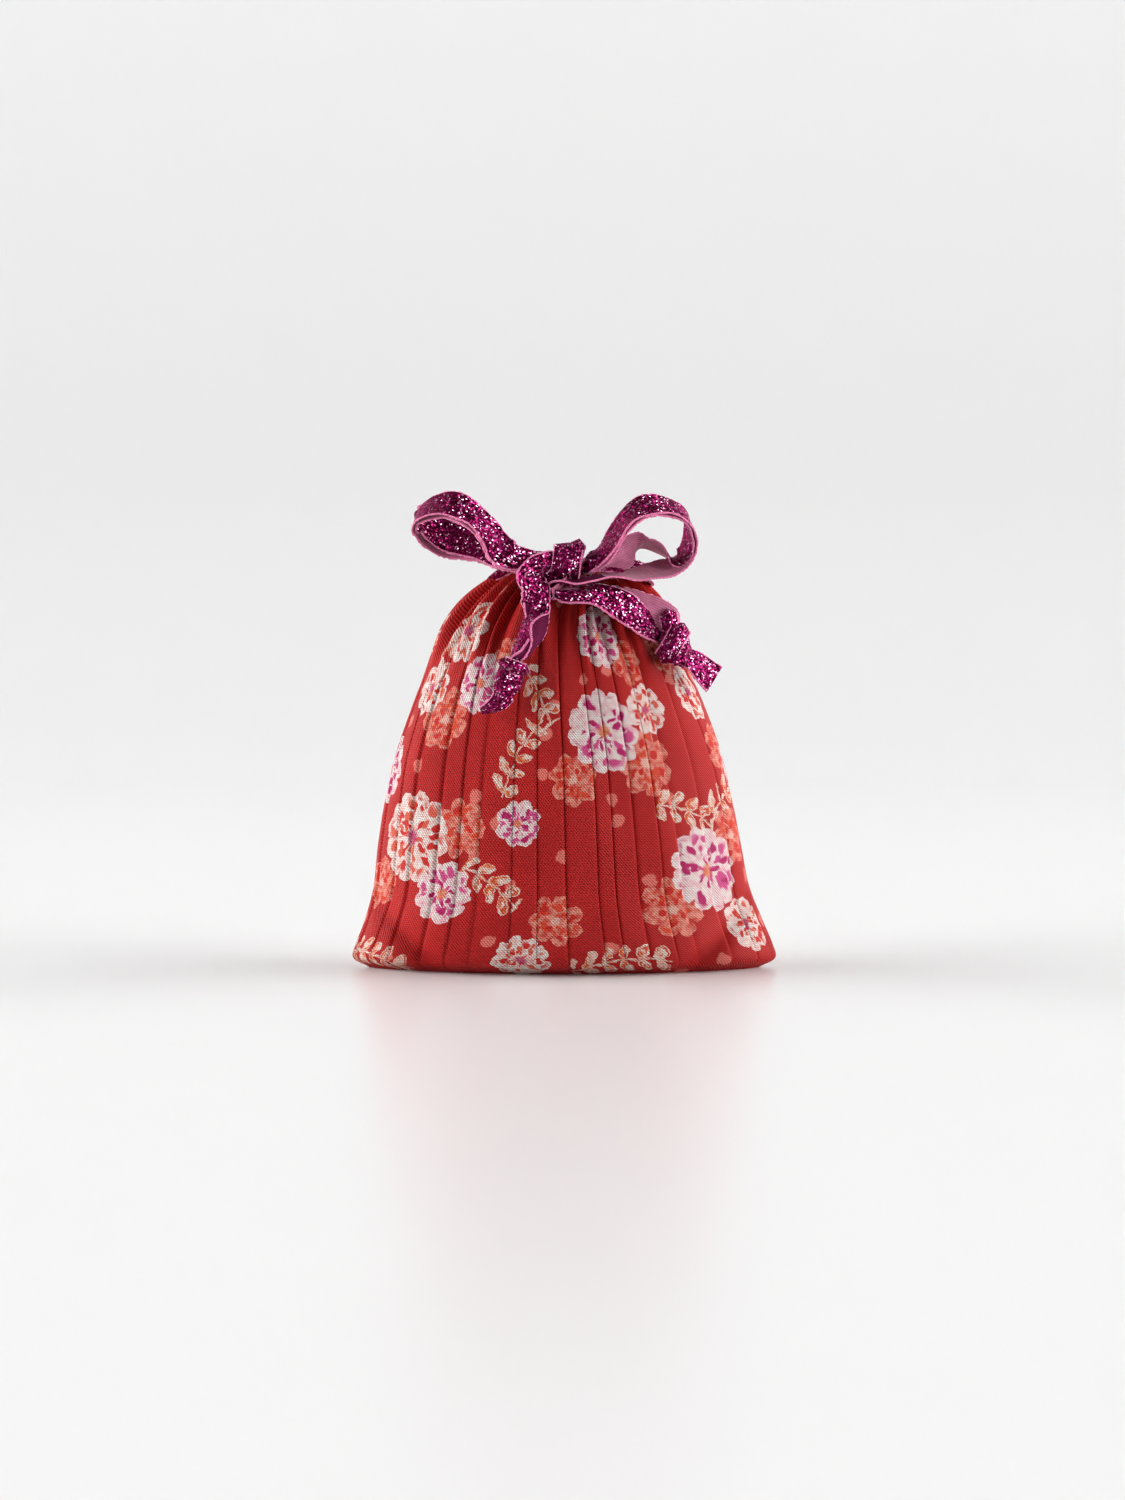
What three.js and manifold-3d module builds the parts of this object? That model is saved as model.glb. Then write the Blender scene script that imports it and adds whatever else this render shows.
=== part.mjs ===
// A kinchaku: a small pleated cloth pouch, drawn shut at the neck by two ribbons tied in one bow.
// Millimetres, +Z up. The origin is on the floor under the middle of the pouch, and -Y is the front.

import * as THREE from 'three';
import * as BufferGeometryUtils from 'three/addons/utils/BufferGeometryUtils.js';
import Module from 'manifold-3d';

const wasm = await Module();
wasm.setup();

const { smoothstep } = THREE.MathUtils;

// Driving dimensions of the filled pouch: width over its ears, depth and height of the cloth's mean
// line, and how far it leans to the left below its neck
const POUCH = { width: 156.4, depth: 84.6, height: 149.3, lean: 3 };

// Outline of the cloth's mean line: shares of the height, of the half width and of the half depth
const BODY_STATIONS = [
  [0, 0.921, 0.567], [0.023, 1, 0.78], [0.06, 0.985, 0.898], [0.121, 0.934, 0.969], [0.201, 0.876, 1],
  [0.301, 0.845, 1], [0.415, 0.811, 0.976], [0.536, 0.767, 0.929], [0.643, 0.703, 0.875],
  [0.737, 0.632, 0.804], [0.817, 0.555, 0.733], [0.877, 0.485, 0.662], [0.924, 0.413, 0.591],
  [0.961, 0.327, 0.508], [0.988, 0.237, 0.383], [1, 0.141, 0.236],
].map(([z, x, y]) => [z * POUCH.height, (x * POUCH.width) / 2, (y * POUCH.depth) / 2]);
const BODY_ROWS = 27;
const CAVITY_ROWS = 18;

// Knife pleats from fold to fold: place along the pitch and height of the panel
const PLEAT_COUNT = 36;
const PLEAT_PROFILE = [[0, -1], [0.2, 0.35], [0.84, 0.75]];
const LINING_PROFILE = [[0, -1], [0.5, 0.55]];
const PLEAT_HEIGHT = { floor: 0.4, body: 0.6, gathers: 1.6, mouth: 0.35 };
const CLOTH_WALL = 1.5;

// Ears: the foot's pointed ends, and the slanting fold that each ear pulls into the cloth
const EAR = {
  height: 42, sharpness: 0.55, foldFrom: [70, 30], foldTo: [45, 5], foldDepth: 3, foldHalfWidth: 4.5,
};

// Driving dimensions of the ribbons
const RIBBON_WIDTH = 12;
const RIBBON_THICKNESS = 0.9;
const DOUBLE_THICKNESS = 2 * RIBBON_THICKNESS;
const RIBBON_IN_CASING = 4.4;
const CLEARANCE = 0.4;

// Gathered neck: the way into the pouch, and the casing that the two ribbons run in
const MOUTH_RADIUS = 8;
const SHOULDER_HEIGHT = 0.777 * POUCH.height;
const NECK_CAVITY = [
  [26.3, 27, 18], [21.3, 13, 11.5], [17.3, MOUTH_RADIUS, MOUTH_RADIUS], [7.3, MOUTH_RADIUS, MOUTH_RADIUS],
  [-2.7, MOUTH_RADIUS, MOUTH_RADIUS],
].map(([belowTop, halfWidth, halfDepth]) => [POUCH.height - belowTop, halfWidth, halfDepth]);
const CASING = {
  halfWidth: 0.099 * POUCH.width, halfDepth: 0.149 * POUCH.depth, bottom: POUCH.height - 15,
  slitLength: 0.16 * POUCH.width,
};
const LEFT_RING_BOTTOM = CASING.bottom + CLEARANCE;
const RIGHT_RING_BOTTOM = LEFT_RING_BOTTOM + RIBBON_IN_CASING + CLEARANCE;
const CASING_TOP = RIGHT_RING_BOTTOM + RIBBON_IN_CASING + CLEARANCE;

// Bow: the bundle of strands at its middle, the wrap drawn round them, and the knots in the four ends
const KNOT = { x: 1.4, y: -27.4, z: 150.2, bundleDepth: 3.2, bundleHeight: 5, wrapHalfWidth: 5 };
const LEFT_END_KNOT = { at: [-20.1, -40.4, 106.9], radii: [4.9, 4.6, 8.4], turn: 21 };
const RIGHT_END_KNOT = { at: [39.9, -22.6, 119.6], radii: [6.2, 5.6, 8], turn: -25 };
const RIGHT_GATHERS = { at: [9.6, -27, 148.9], radii: [2.7, 3.6, 5.2], turn: 0 };
const RIGHT_END_TURN = { at: [38.3, -21.8, 128.4], radii: [4, 3.4, 4.4], turn: 0 };

// Materials
const clothMaterial = () => new THREE.MeshStandardMaterial({ color: 0xb03130, roughness: 0.75 });
const ribbonMaterial = () => new THREE.MeshStandardMaterial({ color: 0x9b3f74, roughness: 0.45 });

// Solids

// A closed THREE geometry as a solid that can be joined and cut
function solidOf(geometry) {
  const bare = geometry.index ? geometry.toNonIndexed() : geometry.clone();
  bare.deleteAttribute('normal');
  bare.deleteAttribute('uv');
  const merged = BufferGeometryUtils.mergeVertices(bare, 1e-4);
  return new wasm.Manifold(new wasm.Mesh({
    numProp: 3,
    vertProperties: merged.attributes.position.array,
    triVerts: merged.index.array,
  }));
}

function geometryOf(solid) {
  const mesh = solid.getMesh();
  const geometry = new THREE.BufferGeometry();
  geometry.setAttribute('position', new THREE.BufferAttribute(mesh.vertProperties, 3));
  geometry.setIndex(new THREE.BufferAttribute(mesh.triVerts, 1));
  return geometry;
}

function namedMesh(name, solid, material) {
  const mesh = new THREE.Mesh(geometryOf(solid), material);
  mesh.name = name;
  return mesh;
}

// Rings of equal point count, stacked and closed by a fan at each end
function loft(rings) {
  const count = rings[0].length;
  const points = rings.flat();
  const index = [];
  for (let row = 0; row < rings.length - 1; row += 1) {
    for (let i = 0; i < count; i += 1) {
      const a = row * count + i;
      const b = row * count + ((i + 1) % count);
      index.push(a, b, b + count, a, b + count, a + count);
    }
  }
  for (const row of [0, rings.length - 1]) {
    const centre = new THREE.Vector3();
    rings[row].forEach((point) => centre.addScaledVector(point, 1 / count));
    points.push(centre);
    for (let i = 0; i < count; i += 1) {
      const a = row * count + i;
      const b = row * count + ((i + 1) % count);
      index.push(points.length - 1, row === 0 ? b : a, row === 0 ? a : b);
    }
  }
  const geometry = new THREE.BufferGeometry().setFromPoints(points);
  geometry.setIndex(index);
  return geometry;
}

// The pleated cloth

// Angles that share out an oval's outline in equal lengths, so that every pleat takes like cloth
const OUTLINE_STEPS = 720;
function equalArcAngles(halfWidth, halfDepth) {
  const lengths = [0];
  for (let i = 1; i <= OUTLINE_STEPS; i += 1) {
    const angle = (2 * Math.PI * (i - 0.5)) / OUTLINE_STEPS;
    const step = Math.hypot(halfWidth * Math.sin(angle), halfDepth * Math.cos(angle));
    lengths.push(lengths[i - 1] + step);
  }
  return (share) => {
    const target = share * lengths[OUTLINE_STEPS];
    const upper = lengths.findIndex((length) => length >= target);
    if (upper <= 0) return 0;
    const part = (target - lengths[upper - 1]) / (lengths[upper] - lengths[upper - 1]);
    return (2 * Math.PI * (upper - 1 + part)) / OUTLINE_STEPS;
  };
}
const [, MIDDLE_HALF_WIDTH, MIDDLE_HALF_DEPTH] = BODY_STATIONS[6];
const angleAt = equalArcAngles(MIDDLE_HALF_WIDTH, MIDDLE_HALF_DEPTH);

// Heat-set pleats are not all the same width: three waves round the pouch crowd and spread them
function unevenShare(share) {
  const around = 2 * Math.PI * share;
  const moved = share + 0.006 * Math.sin(3 * around + 0.7) + 0.0045 * Math.sin(5 * around + 2.1)
    + 0.0038 * Math.sin(13 * around + 1);
  return moved - Math.floor(moved);
}

// Pleats stand about a millimetre proud of their folds, and deepen where the neck is gathered
function pleatHeight(z) {
  const { floor, body, gathers, mouth } = PLEAT_HEIGHT;
  const share = z / POUCH.height;
  const full = floor + body * smoothstep(share, 0, 0.08) + gathers * smoothstep(share, 0.67, 0.95);
  return full * (1 - (1 - mouth) * smoothstep(share, 0.96, 1));
}

// The filled pouch hangs over to the left between its foot and its neck
function leanAt(z) {
  const share = z / POUCH.height;
  return -POUCH.lean * smoothstep(share, 0, 0.75) * (1 - smoothstep(share, 0.82, 1));
}

// A groove beside each ear, with a soft ridge along its inner side
function earFold(x, z) {
  const { foldFrom: [x0, z0], foldTo: [x1, z1], foldDepth, foldHalfWidth } = EAR;
  const length = Math.hypot(x0 - x1, z0 - z1);
  const aside = ((x0 - Math.abs(x)) * (z0 - z1) - (z0 - z) * (x0 - x1)) / length;
  const groove = -Math.exp(-((aside / foldHalfWidth) ** 2));
  const ridge = 0.6 * Math.exp(-(((aside + 2.4 * foldHalfWidth) / (1.5 * foldHalfWidth)) ** 2));
  const nearEar = smoothstep(Math.abs(x), x1 - 15, x1)
    * smoothstep(z, 0, 6) * (1 - smoothstep(z, z0 - 8, z0 + 6));
  return foldDepth * (groove + ridge) * nearEar;
}

// One ring of cloth, lens-shaped with pointed ears near the floor and oval above
function clothRing([z, halfWidth, halfDepth], pleatProfile, pleatShare = 1) {
  const ears = 1 + EAR.sharpness * (1 - smoothstep(z, 0, EAR.height));
  const ring = [];
  for (let pleat = 0; pleat < PLEAT_COUNT; pleat += 1) {
    for (const [place, height] of pleatProfile) {
      const angle = angleAt(unevenShare((pleat + place) / PLEAT_COUNT));
      const sine = Math.sin(angle);
      const x = halfWidth * Math.cos(angle);
      const y = halfDepth * Math.sign(sine) * Math.abs(sine) ** ears;
      const outward = new THREE.Vector2(x / halfWidth ** 2, y / halfDepth ** 2).normalize();
      const proud = pleatHeight(z) * height * pleatShare;
      const fold = Math.sign(sine) * earFold(x, z);
      ring.push(new THREE.Vector3(x + outward.x * proud + leanAt(z), y + outward.y * proud + fold, z));
    }
  }
  return ring;
}

// Stations joined by a smooth curve, and read off at a number of rows
function smoothStations(stations, rows) {
  const stops = stations.map((station) => new THREE.Vector3(...station));
  const curve = new THREE.CatmullRomCurve3(stops, false, 'centripetal');
  return Array.from({ length: rows + 1 }, (_, row) => curve.getPoint(row / rows).toArray());
}

// The ribbon tunnel: an oval ring inside the gathers, open at both sides through a slit
function ovalRing(halfWidth, halfDepth, bottom, top, thickness) {
  const steps = 40;
  const corners = [[-0.5, bottom], [0.5, bottom], [0.5, top], [-0.5, top]];
  const points = [];
  const index = [];
  for (let i = 0; i < steps; i += 1) {
    const angle = (2 * Math.PI * i) / steps;
    for (const [side, z] of corners) {
      const x = (halfWidth + side * thickness) * Math.cos(angle);
      const y = (halfDepth + side * thickness) * Math.sin(angle);
      points.push(new THREE.Vector3(x, y, z));
    }
    for (let c = 0; c < 4; c += 1) {
      const a = i * 4 + c;
      const b = i * 4 + ((c + 1) % 4);
      const next = (k) => (k + 4) % (steps * 4);
      index.push(a, next(b), b, a, next(a), next(b));
    }
  }
  const geometry = new THREE.BufferGeometry().setFromPoints(points);
  geometry.setIndex(index);
  return geometry;
}

// The slits at the side seams, open at the top, let the ribbons out of the tunnel
function casingTunnel() {
  const { halfWidth, halfDepth, bottom, slitLength } = CASING;
  const gap = RIBBON_THICKNESS + 2 * CLEARANCE;
  const slitHeight = POUCH.height + 1 - bottom;
  let tunnel = solidOf(ovalRing(halfWidth, halfDepth, bottom, CASING_TOP, gap));
  for (const side of [-1, 1]) {
    const slit = new THREE.BoxGeometry(slitLength, DOUBLE_THICKNESS + 4 * CLEARANCE, slitHeight);
    slit.translate(side * (halfWidth + slitLength / 2), 0, bottom + slitHeight / 2);
    tunnel = tunnel.add(solidOf(slit));
  }
  return tunnel;
}

// The room inside: the cloth's own outline less its wall, closing to the mouth in the gathered neck
function cavity() {
  const inset = 1.3 * CLOTH_WALL;
  const walls = BODY_STATIONS.filter(([z]) => z < SHOULDER_HEIGHT)
    .map(([z, halfWidth, halfDepth]) => [z + CLOTH_WALL, halfWidth - inset, halfDepth - inset]);
  const rows = smoothStations([...walls, ...NECK_CAVITY], CAVITY_ROWS);
  return loft(rows.map((row) => {
    const pleatShare = 1 - smoothstep(row[0], SHOULDER_HEIGHT - 20, SHOULDER_HEIGHT + 8);
    return clothRing(row, LINING_PROFILE, pleatShare);
  }));
}

function pouchBody() {
  const outside = smoothStations(BODY_STATIONS, BODY_ROWS).map((row) => clothRing(row, PLEAT_PROFILE));
  return solidOf(loft(outside)).subtract(solidOf(cavity())).subtract(casingTunnel());
}

// The ribbons

// The places below are measured on a pouch of this size, and follow the pouch's own size
const MEASURED_ON = { width: 156.4, depth: 84.6, height: 149.3 };
const FIT = ['width', 'depth', 'height'].map((side) => POUCH[side] / MEASURED_ON[side]);
const onPouch = (stop) => stop.map((value, k) => (k < 3 ? value * FIT[k] : value));

// A flat ribbon along a route. Each stop is [x, y, z, across x, across y, across z, spread]: "across"
// points from the near selvedge to the far one, and spread is the share of the width that lies flat.
function ribbon(stops, thickness, stepsPerStop = 2) {
  const route = stops.map(onPouch);
  const path = new THREE.CatmullRomCurve3(route.map(([x, y, z]) => new THREE.Vector3(x, y, z)));
  const steps = (route.length - 1) * stepsPerStop;
  const rings = [];
  for (let i = 0; i <= steps; i += 1) {
    const place = i / stepsPerStop;
    const stop = Math.min(Math.floor(place), route.length - 2);
    const mix = (k) => THREE.MathUtils.lerp(route[stop][k], route[stop + 1][k], place - stop);
    const along = path.getTangent(i / steps);
    const across = new THREE.Vector3(mix(3), mix(4), mix(5));
    across.addScaledVector(along, -across.dot(along)).normalize();
    const normal = new THREE.Vector3().crossVectors(along, across);
    const centre = path.getPoint(i / steps);
    const half = (mix(6) * RIBBON_WIDTH) / 2;
    rings.push([[-1, -1], [1, -1], [1, 1], [-1, 1]].map(([side, face]) => centre.clone()
      .addScaledVector(across, side * half)
      .addScaledVector(normal, (face * thickness) / 2)));
  }
  return solidOf(loft(rings));
}

// A soft lump: an ellipsoid with its long axis turned in the XZ plane
function lump({ at, radii, turn }) {
  const sphere = new THREE.SphereGeometry(1, 14, 9);
  sphere.scale(...radii);
  sphere.rotateY(THREE.MathUtils.degToRad(turn));
  sphere.translate(...onPouch(at));
  return solidOf(sphere);
}

// An oval bar along X, the bundle of strands that the bow's wrap is drawn round
function ovalBar(x0, x1, [y, z], [ry, rz]) {
  const bar = new THREE.CylinderGeometry(1, 1, x1 - x0, 20);
  bar.rotateZ(Math.PI / 2);
  bar.scale(1, ry, rz);
  bar.translate((x0 + x1) / 2, y, z);
  return solidOf(bar);
}

// Left ribbon: from the casing, round the left loop, down its two strands to their knotted end
const LEFT_LEAD = [
  [-15.8, 0, 136.9, 0, 0, 1, 0.37], [-18.6, 0, 137.3, 0, 0, 1, 0.37], [-22, 0, 140.4, 0, 0, 1, 0.37],
  [-28.6, 0, 144.8, 0, 0, 1, 0.34], [-29.6, -4, 147, 0, 0.1, 1, 0.4],
  [-25, -10.5, 148.6, 0, 0.2, 1, 0.5], [-18, -16.5, 150, 0.1, 0.2, 1, 0.55],
  [-10, -21.8, 150.2, 0, 0.2, 1, 0.52], [-5.4, -25.4, 149.9, 0, 0.2, 1, 0.5],
];
const LEFT_LOOP = [
  [-4.5, -26.8, 150.1, 0, 0.51, 0.86, 0.5], [-9.1, -27.8, 150.2, 0.02, 0.72, 0.7, 0.58],
  [-14.2, -29.2, 150.5, 0.24, 0.6, 0.76, 0.7], [-19.2, -30.3, 151.4, 0.29, 0.33, 0.9, 0.86],
  [-22.4, -30.5, 153.9, 0.28, 0.29, 0.92, 0.98], [-25.1, -30, 157.6, 0.34, 0.68, 0.65, 1],
  [-28.3, -29, 162, 0.33, 0.73, 0.6, 1], [-32.3, -27.8, 166.1, 0.31, 0.74, 0.6, 1],
  [-37.1, -26.3, 169.3, 0.29, 0.66, 0.69, 1], [-42.3, -24.3, 170.8, 0.24, 0.65, 0.72, 1],
  [-48, -21.8, 170, 0.15, 0.76, 0.63, 1], [-52, -19.4, 167.7, 0.09, 0.91, 0.41, 1],
  [-53.7, -17.2, 165.1, 0.07, 0.95, 0.31, 1], [-53.5, -15.2, 163.1, 0.01, 0.88, 0.47, 1],
  [-51.6, -13.8, 160.9, -0.08, 0.7, 0.71, 1], [-47.7, -12.8, 159.2, -0.06, 0.44, 0.9, 1],
  [-42.7, -12.5, 157.5, -0.04, 0.21, 0.98, 1], [-36.3, -13.4, 156.7, -0.01, 0.19, 0.98, 1],
  [-29.8, -15.4, 155.7, 0, 0.23, 0.97, 1], [-24.2, -18, 152.9, 0.02, 0.24, 0.97, 0.88],
  [-18.2, -21, 150.8, 0.03, 0.26, 0.96, 0.72], [-11.8, -24, 150.1, 0.03, 0.38, 0.92, 0.58],
  [-4.5, -25.8, 150.1, 0, 0.51, 0.86, 0.5],
];
const LEFT_TAIL_FRONT = [
  [-3.8, -30.2, 149.9, -0, 0.34, -0.94, 0.66], [-6.7, -31.6, 149, 0.26, 0.58, -0.77, 0.78],
  [-9.8, -32.8, 147.2, 0.52, 0.47, -0.71, 0.92], [-11.8, -33.6, 143.5, 0.78, 0.23, -0.58, 1],
  [-10.2, -34, 140.1, 0.87, 0.45, -0.19, 1], [-10.1, -34.3, 135.2, 0.88, 0.46, -0.11, 0.96],
  [-11.6, -34.8, 131.5, 0.6, -0.79, -0.11, 0.9], [-14, -35.6, 127.8, 0.34, -0.94, 0.03, 0.8],
  [-15, -36.4, 123.9, 0.51, -0.86, 0.06, 0.75], [-15.5, -37.2, 120.2, 0.8, -0.57, 0.17, 0.72],
  [-16.8, -38, 116.9, 0.82, -0.57, 0.08, 0.62], [-18, -38.6, 114.7, 0.69, -0.72, 0.07, 0.5],
  [-18.6, -39.8, 112.2, 0.5, 0.8, 0, 0.5],
];
const LEFT_TAIL_BACK = [
  [-3.9, -29, 149.6, -0, 0.55, -0.83, 0.6], [-6.5, -30, 147.9, 0.16, 0.6, -0.79, 0.7],
  [-8.7, -31.2, 145.7, 0.4, 0.62, -0.67, 0.9], [-9.4, -32, 142.1, 0.73, 0.58, -0.36, 0.95],
  [-9.4, -32.5, 137.1, 0.82, 0.55, -0.15, 0.92], [-9.3, -32.9, 132.7, 0.84, 0.54, -0.05, 0.88],
  [-9.2, -33.7, 128.8, 0.78, 0.63, 0, 0.82], [-9.6, -34.9, 124.7, 0.73, 0.69, 0, 0.72],
  [-10.6, -36.4, 120.8, 0.49, 0.87, -0.08, 0.65], [-13.4, -37.8, 116.9, 0.44, 0.89, -0.09, 0.55],
  [-16.8, -38.8, 114.5, 0.47, 0.88, 0, 0.5], [-18.4, -39.6, 112.2, 0.5, 0.8, 0, 0.5],
];
const LEFT_END = [
  [-20.9, -40.4, 102.4, 0.73, 0.41, -0.54, 0.7], [-23.6, -40, 99.1, 0.69, 0.37, -0.63, 0.6],
  [-26.7, -39.4, 97.1, 0.53, 0.44, -0.72, 0.45], [-29.5, -38.8, 95.9, 0.39, 0.48, -0.78, 0.28],
];

// Right ribbon: its two strands part in the loop, one below and one twisted above it
const RIGHT_LEAD = [
  [15.8, 0, 141.7, 0, 0, 1, 0.37], [23, 0, 141.8, 0, 0, 1, 0.37], [29.5, 0, 142.8, 0, 0, 1, 0.36],
  [31.5, -4, 144.4, 0, 0.1, 1, 0.4], [28, -10.5, 146.6, 0, 0.2, 1, 0.5],
  [19.5, -16.8, 148.8, -0.1, 0.2, 1, 0.55], [11, -22, 149.4, 0, 0.2, 1, 0.52],
  [8.4, -24.4, 149.4, 0, 0.2, 1, 0.5],
];
const RIGHT_LOOP_SHARED = [
  [8.4, -26.8, 148.7, -0, 0.43, 0.9, 0.52], [10.1, -27.8, 150.4, -0.04, 0.48, 0.88, 0.67],
  [13.3, -28.4, 152.7, -0.36, 0.83, 0.43, 0.82], [16.9, -28.6, 157.2, -0.37, 0.88, 0.3, 0.96],
  [20.1, -28, 161.9, -0.4, 0.89, 0.23, 1], [23.5, -27, 166.3, -0.36, 0.84, 0.4, 1],
  [28, -25.6, 169.4, -0.18, 0.79, 0.59, 1], [33.3, -23.6, 170.5, -0.01, 0.81, 0.58, 1],
  [38.6, -21.2, 169.8, 0.06, 0.9, 0.44, 1], [42.8, -18.8, 167.7, 0.08, 0.96, 0.26, 1],
  [45.5, -16.6, 164.2, -0.04, 0.98, 0.17, 1], [46.2, -14.6, 159.9, -0.25, 0.95, 0.2, 1],
  [45.8, -14, 156.6, -0.37, 0.91, 0.18, 1],
];
const RIGHT_LOOP_LOWER = [
  [44.9, -14.2, 153.4, -0.44, 0.87, 0.21, 1], [42.8, -14.8, 150.7, -0.43, 0.85, 0.3, 1],
  [39.8, -15.5, 149, -0.35, 0.83, 0.43, 1], [35.8, -16.5, 147.6, -0.32, 0.8, 0.5, 1],
  [31.5, -17.8, 146.8, -0.32, 0.82, 0.48, 1], [27.3, -19.2, 146, -0.31, 0.86, 0.4, 1],
  [23, -20.8, 145.4, -0.26, 0.92, 0.28, 1], [18.5, -22.8, 145, -0.19, 0.97, 0.18, 0.95],
  [13.8, -25.2, 144.4, -0.1, 0.98, 0.15, 0.85], [8.8, -28.2, 143.3, -0.04, 0.98, 0.21, 0.7],
  [3.8, -30, 142.2, -0, 0.96, 0.27, 0.6], [-0.7, -30.8, 143, 0.03, 0.95, 0.32, 0.5],
];
const RIGHT_LOOP_TWISTED = [
  [44.4, -13.6, 153.7, -0.47, 0.85, 0.22, 1], [42.1, -13.2, 151.6, -0.47, 0.84, 0.27, 1],
  [39.9, -12.6, 151, -0.28, 0.95, 0.13, 1], [37.8, -12, 152.4, -0.13, 0.99, -0.04, 1],
  [35.6, -11.6, 154.3, -0.09, 0.97, -0.21, 1], [32.1, -11.4, 156.4, -0.07, 0.96, -0.27, 1],
  [29.3, -11.8, 156.9, -0.06, 0.97, -0.25, 1], [27.1, -13, 156.3, -0.03, 0.87, -0.49, 1],
  [25.3, -15, 155.3, 0.07, 0.4, -0.91, 1], [22, -17.5, 153.1, 0.15, 0.3, -0.94, 1],
  [17.9, -20, 151.3, 0.07, 0.5, -0.87, 0.86], [13.6, -22.5, 149.6, 0, 0.74, -0.67, 0.7],
  [9.2, -24.4, 148.3, -0.05, 0.86, -0.51, 0.58], [8.4, -25.4, 148.2, -0.02, 0.85, -0.53, 0.5],
];
const RIGHT_TAIL_FRONT = [
  [-2.6, -29.2, 138.8, 0, 0.82, 0.57, 0.42], [-0, -29.4, 138.5, 0.14, 0.76, 0.63, 0.62],
  [5, -29.6, 138.6, 0.13, 0.79, 0.59, 0.8], [11.3, -29.7, 138.4, 0.18, 0.71, 0.68, 0.95],
  [16.6, -29.3, 136.5, 0.31, 0.6, 0.73, 1], [22.3, -28.4, 133.3, 0.41, 0.39, 0.82, 1],
  [26.8, -27.2, 129.9, 0.41, 0.55, 0.73, 1], [30.5, -25.6, 127.5, 0.36, 0.55, 0.75, 0.9],
  [33.1, -24.2, 125.4, 0.24, 0.62, 0.74, 0.78], [34.8, -23, 123.4, 0.2, 0.75, 0.63, 0.62],
];
const RIGHT_TAIL_BACK = [
  [-2.6, -28.6, 139.8, 0, 0.86, 0.52, 0.4], [2.1, -28.2, 140.7, 0.29, 0.77, 0.58, 0.6],
  [10.9, -26, 140.6, 0.3, 0.81, 0.5, 0.8], [19.4, -25.2, 139.2, 0.36, 0.79, 0.5, 0.95],
  [25.7, -24.6, 136.5, 0.42, 0.67, 0.62, 1], [30.8, -23.8, 133.5, 0.43, 0.51, 0.74, 1],
  [35.2, -22.6, 130.9, 0.47, 0.39, 0.79, 1], [38.2, -21.8, 128.9, 0.54, 0.39, 0.75, 0.95],
  [39.3, -21.4, 126.3, 0.56, 0.6, 0.56, 0.8],
];
const RIGHT_END = [
  [44.4, -21.4, 115.2, 0.35, 0.66, 0.66, 0.55], [47, -20, 114.3, 0.39, 0.59, 0.71, 0.76],
  [50.4, -17.6, 111.4, 0.47, 0.51, 0.72, 0.92], [55, -15.4, 107.3, 0.51, 0.45, 0.73, 1],
];

// The part of each ribbon that stays in the casing, folded lengthwise
function ringInCasing(bottom) {
  const { halfWidth, halfDepth } = CASING;
  return solidOf(ovalRing(halfWidth, halfDepth, bottom, bottom + RIBBON_IN_CASING, RIBBON_THICKNESS));
}

function unionOf(solids) {
  return solids.reduce((whole, solid) => whole.add(solid));
}

const [KNOT_X, KNOT_Y, KNOT_Z] = onPouch([KNOT.x, KNOT.y, KNOT.z]);
const WRAP_START = KNOT_X - KNOT.wrapHalfWidth;
const WRAP_END = KNOT_X + KNOT.wrapHalfWidth;

function leftRibbon() {
  return unionOf([
    ringInCasing(LEFT_RING_BOTTOM),
    ribbon(LEFT_LEAD, DOUBLE_THICKNESS),
    ovalBar(WRAP_START - 3, WRAP_END - CLEARANCE, [KNOT_Y, KNOT_Z], [KNOT.bundleDepth, KNOT.bundleHeight]),
    ribbon(LEFT_LOOP, DOUBLE_THICKNESS),
    ribbon(LEFT_TAIL_FRONT, RIBBON_THICKNESS),
    ribbon(LEFT_TAIL_BACK, RIBBON_THICKNESS),
    lump(LEFT_END_KNOT),
    ribbon(LEFT_END, DOUBLE_THICKNESS),
  ]);
}

// The right ribbon's wrap goes round the left ribbon's bundle, with a little air between them, and
// its own strands are gathered against the wrap's right end
function rightRibbon() {
  const inner = [KNOT.bundleDepth + CLEARANCE, KNOT.bundleHeight + CLEARANCE];
  const outer = inner.map((radius) => radius + RIBBON_THICKNESS);
  const place = [KNOT_Y, KNOT_Z];
  const wrap = ovalBar(WRAP_START, WRAP_END + 1, place, outer)
    .subtract(ovalBar(WRAP_START - 1, WRAP_END, place, inner));
  return unionOf([
    ringInCasing(RIGHT_RING_BOTTOM),
    wrap,
    ribbon(RIGHT_LEAD, DOUBLE_THICKNESS),
    ribbon(RIGHT_LOOP_SHARED, DOUBLE_THICKNESS),
    ribbon([...RIGHT_LOOP_SHARED.slice(-1), ...RIGHT_LOOP_LOWER], RIBBON_THICKNESS),
    ribbon([...RIGHT_LOOP_SHARED.slice(-1), ...RIGHT_LOOP_TWISTED], RIBBON_THICKNESS),
    ribbon(RIGHT_TAIL_FRONT, RIBBON_THICKNESS),
    ribbon(RIGHT_TAIL_BACK, RIBBON_THICKNESS),
    lump(RIGHT_GATHERS),
    lump(RIGHT_END_TURN),
    lump(RIGHT_END_KNOT),
    ribbon(RIGHT_END, DOUBLE_THICKNESS),
  ]);
}

const pouch = new THREE.Group();
pouch.name = 'kinchaku_pouch';
pouch.add(
  namedMesh('pouch_body', pouchBody(), clothMaterial()),
  namedMesh('drawstring_ribbon_left', leftRibbon(), ribbonMaterial()),
  namedMesh('drawstring_ribbon_right', rightRibbon(), ribbonMaterial()),
);

export default pouch;
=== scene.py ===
"""A small kinchaku of pleated, printed crepe, drawn shut by two glitter ribbons tied in one bow.

Metres, +Z up, the front towards -Y. The script runs from top to bottom in the order in which the
object is put together: camera, ribbons, bow, cloth, floor and light.
"""

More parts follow.
